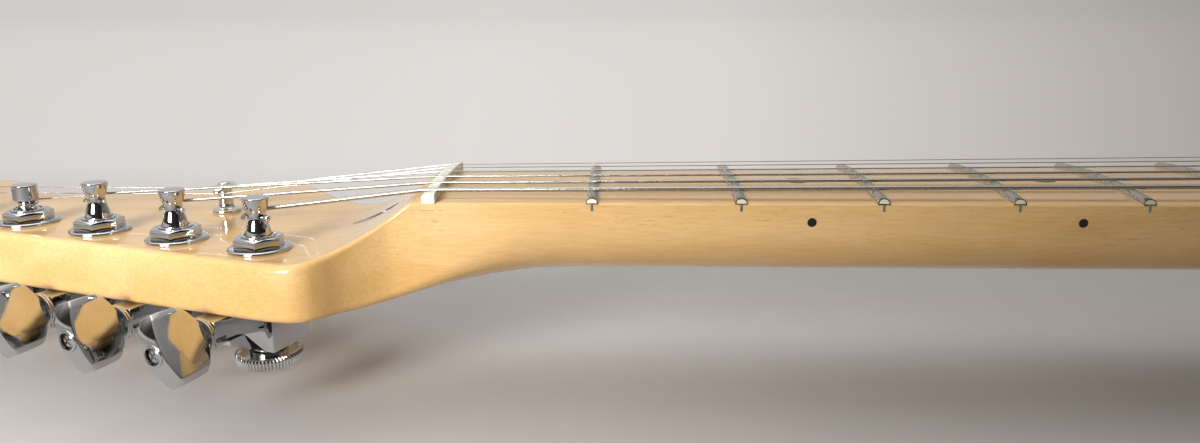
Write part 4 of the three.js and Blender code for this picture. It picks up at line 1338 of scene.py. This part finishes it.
def post_mesh(tall):
    """The post with its gear, its waist and its bores. The tall one flares widely to its foot."""
    top = TALL_POST_TOP if tall else SHORT_POST_TOP
    wrap = TALL_WRAP if tall else SHORT_WRAP
    waist = wrap - HOLE_DROP / 2
    full, thin = POST_WIDTH / 2, POST_WAIST / 2
    low_end, high_end = waist - 0.8, waist + 0.8

    def flare(share):
        return mix(thin, full, share)

    def under(share):
        return mix(POST_FOOT, low_end, share)

    def over(share):
        return mix(high_end, top, share)

    if tall:
        curve = spline([
            (full * 0.99, POST_FOOT), (full * 0.97, under(0.12)), (flare(0.72), under(0.4)),
            (flare(0.3), under(0.7)), (thin, low_end), (thin, high_end - 0.35),
            (flare(0.3), over(0.1)), (flare(0.58), over(0.34)), (flare(0.82), over(0.62)),
            (full, top - 0.4),
        ], 60)
    else:
        curve = spline([
            (full * 0.99, POST_FOOT), (full * 0.93, under(0.35)), (thin * 1.02, low_end),
            (thin, high_end - 0.3), (flare(0.6), high_end + 0.2), (flare(0.95), high_end + 0.5),
            (full, high_end + 0.9), (full, top - 0.45),
        ], 60)
    gear = GEAR_WIDTH / 2
    gear_low, gear_high = SHAFT_Z - GEAR_THICKNESS / 2, SHAFT_Z + GEAR_THICKNESS / 2
    profile = [(0, POST_END), (2.5, POST_END), (2.5, gear_low)]
    profile += [(gear, gear_low), (gear, gear_high), (full, gear_high)]
    profile += [tuple(p) for p in curve]
    profile += [(full - 0.05, top - 0.2), (full - 0.38, top - 0.02), (full - 0.6, top), (0, top)]
    post = body_from("post", turned(profile, 80))
    hole_z = wrap - HOLE_DROP
    hole = placed(rod(STRING_HOLE_WIDTH, -6, 6, 32), math.pi / 2, "Y")
    hole = placed(hole, HOLE_ANGLE, "Z", (0, 0, hole_z))
    combine(post, joined(hole, rod(POST_BORE, POST_END - 1.8, hole_z, 32)))
    return post


def string_stub(index):
    """The cut end of the string, just out of the post's hole, with a melted bead on it."""
    width = STRING_WIDTHS[index]
    rise = (0, 0, WRAP_HEIGHTS[index] - HOLE_DROP)
    way = np.array([math.cos(HOLE_ANGLE), math.sin(HOLE_ANGLE), 0])
    tip = way * 4.7 + (0, 0, 0.25) + rise
    wire = tube([way * 1.0 + rise, way * 2.8 + rise, tip], width, 12)
    bead = [(0, -width * 0.8), (width * 0.7, -width * 0.8), (width * 0.7, width * 0.7), (0, width * 0.7)]
    bead = placed(turned(rounded(bead, width * 0.5, 4), 20), math.pi / 2, "Y")
    return joined(wire, placed(bead, HOLE_ANGLE, "Z", tip))


def corners(left, right, front, back, bottom, top):
    return [(x, y, z) for x in (left, right) for y in (front, back) for z in (bottom, top)]


def housing_mesh():
    """A hollow case with slanting flanks, and the arm that holds the worm shaft."""
    left, right, front, back = 9.6, 8.2, 7.5, 6.0
    bottom, arm_bottom = BACK_Z - HOUSING_DEPTH, BACK_Z - ARM_DEPTH
    arm_left, arm_right = -SHAFT_OFFSET - ARM_WIDTH / 2, -SHAFT_OFFSET + ARM_WIDTH / 2
    draft, flank, hollow_y = 0.9, 2.5, -front + 2.3
    case = body_from("housing", hull(
        corners(-left, right, -front, back, BACK_Z - draft, BACK_Z)
        + corners(-left + draft, right, -front, back - draft, bottom, BACK_Z - draft)
    ))
    spots = []
    for side_x, arm_x in ((-left - 1, -left - 1), (right - flank, arm_right)):
        spots += [(side_x, y, z) for z in (bottom, BACK_Z + 1) for y in (-front - 1, -front)]
        spots += [(arm_x, hollow_y, z) for z in (arm_bottom, BACK_Z + 1)]
    combine(case, hull(spots))
    combine(case, block((arm_left, -ARM_END, arm_bottom), (arm_right, -4.4, BACK_Z)), "UNION")
    soften(case, 0.45, 3, 20)
    cavity = block(
        (-left + HOUSING_WALL, -3.95, bottom + 1.1),
        (right - HOUSING_WALL, back - HOUSING_WALL, BACK_Z + 1),
    )
    post_hole = rod(5.7, bottom - 1, BACK_Z, 48)
    shaft_hole = placed(rod(3.7, 0, 16, 40), math.pi / 2, "X", (-SHAFT_OFFSET, 0, SHAFT_Z))
    outline = stadium(-1.5, 1.5, 0.95, 8)
    slot = loft([np.column_stack([outline, np.full(len(outline), z)]) for z in (-1.2, 1.2)])
    slot = placed(slot, math.pi / 2, "Z")
    slot = placed(slot, math.pi / 2, "Y", (arm_right, -12.4, BACK_Z - 4.4))
    combine(case, joined(cavity, post_hole, shaft_hole, slot))
    return case


def shaft_mesh():
    """The worm, the shaft and the collar outside the housing's arm."""
    radius = SHAFT_WIDTH / 2
    profile = [(0, -4.4), (1.0, -4.4), (1.0, -3.6)]
    for i in range(4):
        base = -3.5 + i * 1.75
        profile += [(1.3, base), (1.68, base + 0.6), (1.68, base + 1.1)]
    profile += [(radius, 3.6), (radius, COLLAR_START)]
    collar = [(radius, 0), (4.1, 0), (4.1, 0.6), (3.6, 0.6), (3.6, 0.85), (4.25, 0.85), (4.25, 1.35)]
    collar = [(r, COLLAR_START + rise) for r, rise in [*collar, (radius, 1.35)]]
    profile += rounded(collar, 0.2, 3)[1:]
    profile += [(radius, SHAFT_END), (0, SHAFT_END)]
    return body_from("worm_shaft", along_shaft(turned(profile, 64)))


def button_mesh(width):
    """A broad flat button with creased faces, lens-shaped over its end, and a low ring there."""
    half, crease = width / 2, BUTTON_CREASE
    across = np.concatenate([
        np.linspace(-1, -crease, 5), np.linspace(-crease, crease, 33)[1:-1],
        np.linspace(crease, 1, 5),
    ])
    rings = []
    for along in np.linspace(0, 1, 15):
        wide = 1 - 0.04 * (1 - along) ** 2
        flare = 1 - 0.28 * (along - 0.45) ** 2
        spots = []
        for u in across:
            beyond = max(0.0, (abs(u) - crease) / (1 - crease))
            crown = 1.05 - 0.1 * min(1.0, abs(u) / crease) ** 2
            side = BUTTON_HALF_THICKNESS * mix(1.0, 0.74, beyond ** 1.1) * flare * crown
            y = -mix(BUTTON_START + 3.3 * u * u, BUTTON_END - 2.4 * u * u, along)
            spots.append((side, y, u * half * wide))
        rings.append(spots + [(-x, y, z) for x, y, z in reversed(spots)])
    rings = np.array(rings)
    points, faces = loft(rings)
    faces = faces[:-2]
    size, last = rings.shape[1], (len(rings) - 1) * rings.shape[1]
    for i in range(len(across) - 1):
        j = size - 1 - i
        faces += [(i, i + 1, j - 1, j), (last + i + 1, last + i, last + j, last + j - 1)]
    button = body_from("button", (points, faces))
    soften(button, 0.22, 3, 11)
    edge = BUTTON_RING_WIDTH / 2
    ring = [(0, 25), (edge, 25), (edge, BUTTON_RING_END), (0, BUTTON_RING_END)]
    combine(button, along_shaft(turned(rounded(ring, 0.3, 4), 64)), "UNION")
    recess = rod(4.2, SCREW_RECESS, 32, 64)
    combine(button, along_shaft(joined(recess, rod(3.3, 12, SCREW_RECESS + 0.5, 40))))
    return button


def screw_mesh():
    """The screw in the button's end, with a cross cut in its head one slot at a time."""
    head = SCREW_HEAD_WIDTH / 2
    profile = rounded([
        (0, 22.7), (0.7, 22.7), (0.7, SCREW_HEAD_START), (head, SCREW_HEAD_START),
        (head, SCREW_HEAD_END), (1.3, SCREW_HEAD_END + 0.4), (0, SCREW_HEAD_END + 0.55),
    ], 0.2, 3)
    screw = body_from("button_screw", along_shaft(turned(profile, 48)))
    half, side = CROSS_LENGTH / 2, CROSS_WIDTH / 2
    for x, y in ((half, side), (side, half)):
        slot = block((-x, -y, SCREW_HEAD_END), (x, y, 31))
        combine(screw, along_shaft(placed(slot, CROSS_TURN)))
    return screw


def wheel_mesh(knurls):
    """The lock wheel, dished on both faces, with ridges round its rim."""
    top, bottom = WHEEL_TOP, WHEEL_BOTTOM
    profile = [
        (0, top + 2.3), (4.4, top + 2.3), (4.5, top + 2.2), (4.5, top - 0.5), (6.7, top - 0.5),
        (6.95, top - 0.1), (7.1, top), (7.55, top), (7.95, top - 0.3), (7.95, bottom + 0.3),
        (7.55, bottom), (6.4, bottom), (6.1, bottom + 0.35), (3.0, bottom + 0.35), (2.7, bottom),
        (0, bottom),
    ]
    depths = {7: 0.2, 8: KNURL_DEPTH, 9: KNURL_DEPTH, 10: 0.2}

    def wave(row, turns):
        return -depths.get(row, 0.0) * np.abs(np.sin(turns * knurls / 2)) ** 3

    return body_from("lock_wheel", turned(profile, knurls * 6, wave=wave))


def pin_shell(index):
    radius, top = PIN_WIDTH / 2, WRAP_HEIGHTS[index] - 2.2
    return turned([(0, WHEEL_TOP), (radius, WHEEL_TOP), (radius, top - 0.1), (0, top)], 20)


class GUITARNECK_OT_tuners(Operator):
    """Builds the six tuners, each from eight pieces, its lock pin and the string's cut end"""

    bl_idname = "guitar_neck.tuners"
    bl_label = "Tuners"

    def execute(self, context):
        looks = context.scene.tuner_looks
        made = {
            "washer": (washer_mesh(), "chrome", "tuner_chrome", "neck", 32),
            "bushing": (bushing_mesh(), "chrome", "tuner_chrome", "neck", 22),
            "housing": (housing_mesh(), "cast chrome", "cast_chrome", "neck", 30),
            "worm_shaft": (shaft_mesh(), "turned steel", "shaft_steel", "knob", 32),
            "button": (button_mesh(looks.button_width / MM), "cast chrome", "cast_chrome", "knob", 24),
            "button_screw": (screw_mesh(), "screw steel", "screw_steel", "knob", 30),
            "lock_wheel": (wheel_mesh(looks.knurls), "satin nickel", "wheel_nickel", "lock_wheel", 40),
            "tall_post": (post_mesh(True), "chrome", "tuner_chrome", "post", 40),
            "short_post": (post_mesh(False), "chrome", "tuner_chrome", "post", 40),
        }
        for source, material, _, _, angle in made.values():
            finish_mesh(source.data, MATERIALS[material], angle)
        kinds = [kind for kind in made if not kind.endswith("post")]
        for index in range(TUNERS):
            number = index + 1
            for kind in (*kinds, "tall_post" if index < TALL_POSTS else "short_post"):
                source, _, slot, group, _ = made[kind]
                node = f"tuner_{number}_{'post' if kind.endswith('post') else kind}"
                body = "neck" if group == "neck" else f"{group}_{number}"
                matrix = knob_matrix(index) if group == "knob" else tuner_matrix(index)
                share_mesh(f"{node}_shown", source.data, body, [node], matrix)
            add_piece(
                f"tuner_{number}_lock_pin", pin_shell(index), MATERIALS["turned steel"],
                f"lock_wheel_{number}", matrix=tuner_matrix(index),
            )
            add_piece(
                f"tuner_{number}_string_stub", string_stub(index), MATERIALS["tree nickel"],
                f"post_{number}", matrix=tuner_matrix(index),
            )
        for source, *_ in made.values():
            bpy.data.objects.remove(source)
        return {"FINISHED"}


# Stage: camera, floor and lamps

def add_camera(scene):
    yaw, pitch, roll = (math.radians(a) for a in CAMERA_TURN)
    turn = Matrix.Rotation(yaw, 3, "Z") @ Matrix.Rotation(pitch, 3, "X") @ Matrix.Rotation(roll, 3, "Y")
    data = bpy.data.cameras.new("camera")
    data.sensor_width = SENSOR
    data.lens = CAMERA_LENS
    data.clip_start = 0.01
    camera = bpy.data.objects.new("camera", data)
    scene.collection.objects.link(camera)
    right, ahead, up = turn.col[0], turn.col[1], turn.col[2]
    camera.matrix_world = Matrix((
        (right[0], up[0], -ahead[0], CAMERA_PLACE[0]),
        (right[1], up[1], -ahead[1], CAMERA_PLACE[1]),
        (right[2], up[2], -ahead[2], CAMERA_PLACE[2]),
        (0, 0, 0, 1),
    ))
    scene.camera = camera


def add_lamp(scene, name, place, target, size, power, spread):
    data = bpy.data.lights.new(name, "AREA")
    data.shape = "RECTANGLE"
    data.size, data.size_y = size
    data.energy = power
    data.spread = math.radians(spread)
    lamp = bpy.data.objects.new(name, data)
    scene.collection.objects.link(lamp)
    lamp.location = place
    lamp.rotation_mode = "QUATERNION"
    lamp.rotation_quaternion = (Vector(target) - Vector(place)).to_track_quat("-Z", "Y")


def floor_material(looks):
    """Near the neck the floor is lit; farther off it shows the backdrop's own brightness as a glow, with
    painted shade that dims it to the right and farther away.
    """
    nodes, shader = new_material("pale floor", Specular_IOR_Level=0.1)
    place = nodes.add("ShaderNodeNewGeometry").outputs["Position"]
    parts = nodes.add("ShaderNodeSeparateXYZ")
    nodes.put(parts.inputs[0], place)
    mottle = nodes.noise(place, (30, 30, 30), 4.0, 0.6)
    spots = nodes.span(mottle, 0.3, 0.7, 0.0, 0.05)
    floor = nodes.blend(spots, tuple(looks.floor_near), (0.3, 0.28, 0.27))
    nodes.put(shader["Base Color"], floor)
    nodes.put(shader["Roughness"], nodes.span(mottle, 0.3, 0.7, 0.55, 0.7))
    backdrop_glow_with_painted_shade = nodes.add("ShaderNodeEmission")
    # Painted shade: the backdrop's glow fades from the far colour to a dim grey towards +X, standing in
    # for light falling off to the right.
    tone = nodes.add("ShaderNodeValToRGB")
    ramp = tone.color_ramp
    dim, far = np.array((0.38, 0.355, 0.33)), np.array(looks.floor_far)
    ramp.elements[0].position, ramp.elements[0].color = 0.0, (*far * 0.92, 1)
    ramp.elements[1].position, ramp.elements[1].color = 1.0, (*dim, 1)
    for position, share in ((0.4, 1.0), (0.58, 0.9)):
        ramp.elements.new(position).color = (*mix(dim, far, share), 1)
    behind = parts.outputs["Y"]
    away = nodes.math("ABSOLUTE", behind)
    sideways = nodes.math("ADD", parts.outputs["X"], 0.4)
    painted_shade_fan = nodes.math("DIVIDE", sideways, nodes.math("ADD", away, 0.3))
    nodes.put(tone.inputs[0], nodes.math("ADD", nodes.math("MULTIPLY", painted_shade_fan, 0.8), 0.5, clamp=True))
    # Painted shade: the glow dims by a tenth farther from the neck.
    height = nodes.span(away, 0.4, 4.0, 1.0, 0.9)
    nodes.put(backdrop_glow_with_painted_shade.inputs["Color"], nodes.blend(1.0, tone.outputs[0], height, "MULTIPLY"))
    rays = nodes.add("ShaderNodeLightPath").outputs
    seen = nodes.math("MAXIMUM", rays["Is Camera Ray"], rays["Is Glossy Ray"])
    seen = nodes.math("MAXIMUM", seen, rays["Is Transmission Ray"])
    reach = nodes.math("MAXIMUM", behind, nodes.math("MULTIPLY", behind, -0.4))
    beside = nodes.math("ABSOLUTE", nodes.math("ADD", parts.outputs["X"], 0.35))
    reach = nodes.math("MAXIMUM", reach, nodes.math("SUBTRACT", beside, 0.38))
    share = nodes.math("MULTIPLY", seen, nodes.span(reach, 0.03, 0.34))
    both = nodes.add("ShaderNodeMixShader")
    nodes.put(both.inputs[0], share)
    nodes.put(both.inputs[1], nodes.tree.nodes["Principled BSDF"].outputs[0])
    nodes.put(both.inputs[2], backdrop_glow_with_painted_shade.outputs[0])
    nodes.put(nodes.tree.nodes["Material Output"].inputs["Surface"], both.outputs[0])
    return MATERIALS["pale floor"]


def set_world(scene):
    """A room that is bright overhead, dark behind the camera and dimmer past the heel."""
    world = bpy.data.worlds.new("studio")
    scene.world = world
    world.use_nodes = True
    nodes = Nodes(world.node_tree)
    background = world.node_tree.nodes["Background"]
    way = nodes.add("ShaderNodeTexCoord").outputs["Generated"]
    parts = nodes.add("ShaderNodeSeparateXYZ")
    nodes.put(parts.inputs[0], way)
    front = nodes.math("MAXIMUM", nodes.math("MULTIPLY", parts.outputs["Y"], -0.9), 0.0)
    height = nodes.math("SUBTRACT", parts.outputs["Z"], front)
    lit = nodes.blend(nodes.span(height, -0.1, 0.5), DARK_ROOM, (0.47, 0.462, 0.452))
    shown = nodes.blend(nodes.span(height, -0.1, 0.62), DARK_ROOM, (1.0, 0.985, 0.965))
    shown = nodes.blend(nodes.span(parts.outputs["Y"], 0.1, 0.5), shown, (0.66, 0.64, 0.62))
    rays = nodes.add("ShaderNodeLightPath").outputs
    mirrored = nodes.math("MAXIMUM", rays["Is Glossy Ray"], rays["Is Transmission Ray"])
    sky = nodes.blend(mirrored, lit, shown)
    right = nodes.span(parts.outputs["X"], 0.0, 0.9, 1.0, 0.4)
    sky = nodes.blend(1.0, sky, right, "MULTIPLY")
    backdrop = tuple(0.9 * c for c in scene.stage_looks.floor_far)
    nodes.put(background.inputs["Color"], nodes.blend(rays["Is Camera Ray"], sky, backdrop))
    background.inputs["Strength"].default_value = 1.0


class GUITARNECK_OT_stage(Operator):
    """Sets the camera, the floor and the lamps"""

    bl_idname = "guitar_neck.stage"
    bl_label = "Stage"

    def execute(self, context):
        scene = context.scene
        looks = scene.stage_looks
        scene.view_settings.view_transform = "Standard"
        add_camera(scene)
        points, faces = turned([(radius / MM, FLOOR_Z / MM) for radius in FLOOR_RADII], 96)
        floor = body_from("floor", (points + (FLOOR_MIDDLE / MM, 0, 0), faces))
        finish_mesh(floor.data, floor_material(looks), 60)
        set_world(scene)
        add_lamp(scene, "key", KEY_PLACE, KEY_TARGET, KEY_SIZE, looks.key_power, KEY_SPREAD)
        add_lamp(scene, "top", TOP_PLACE, TOP_TARGET, TOP_SIZE, looks.top_power, TOP_SPREAD)
        return {"FINISHED"}


class GUITARNECK_PT_panel(Panel):
    """Lists the pieces of the guitar neck and their settings"""

    bl_label = "Guitar Neck"
    bl_idname = "GUITARNECK_PT_panel"
    bl_space_type = "VIEW_3D"
    bl_region_type = "UI"
    bl_category = "Guitar Neck"

    def draw(self, context):
        for step in OPERATORS:
            self.layout.operator(step.bl_idname)
        for name, looks in LOOKS:
            box = self.layout.box()
            box.label(text=name.replace("_", " ").title())
            for prop in looks.__annotations__:
                box.prop(getattr(context.scene, name), prop)


LOOKS = (
    ("neck_looks", NeckLooks),
    ("fret_looks", FretLooks),
    ("tuner_looks", TunerLooks),
    ("string_looks", StringLooks),
    ("stage_looks", StageLooks),
)
OPERATORS = (
    GUITARNECK_OT_stage,
    GUITARNECK_OT_strings,
    GUITARNECK_OT_neck,
    GUITARNECK_OT_truss_rod,
    GUITARNECK_OT_frets,
    GUITARNECK_OT_nut,
    GUITARNECK_OT_string_tree,
    GUITARNECK_OT_tuners,
)


def register():
    for _, looks in LOOKS:
        bpy.utils.register_class(looks)
    for name, looks in LOOKS:
        setattr(bpy.types.Scene, name, PointerProperty(type=looks))
    for step in (*OPERATORS, GUITARNECK_PT_panel):
        bpy.utils.register_class(step)


def unregister():
    for step in (*OPERATORS, GUITARNECK_PT_panel):
        bpy.utils.unregister_class(step)
    for name, looks in LOOKS:
        delattr(bpy.types.Scene, name)
        bpy.utils.unregister_class(looks)


def main():
    register()
    make_materials(bpy.context.scene)
    for step in OPERATORS:
        group, name = step.bl_idname.split(".")
        getattr(getattr(bpy.ops, group), name)()


if __name__ == "__main__":
    main()
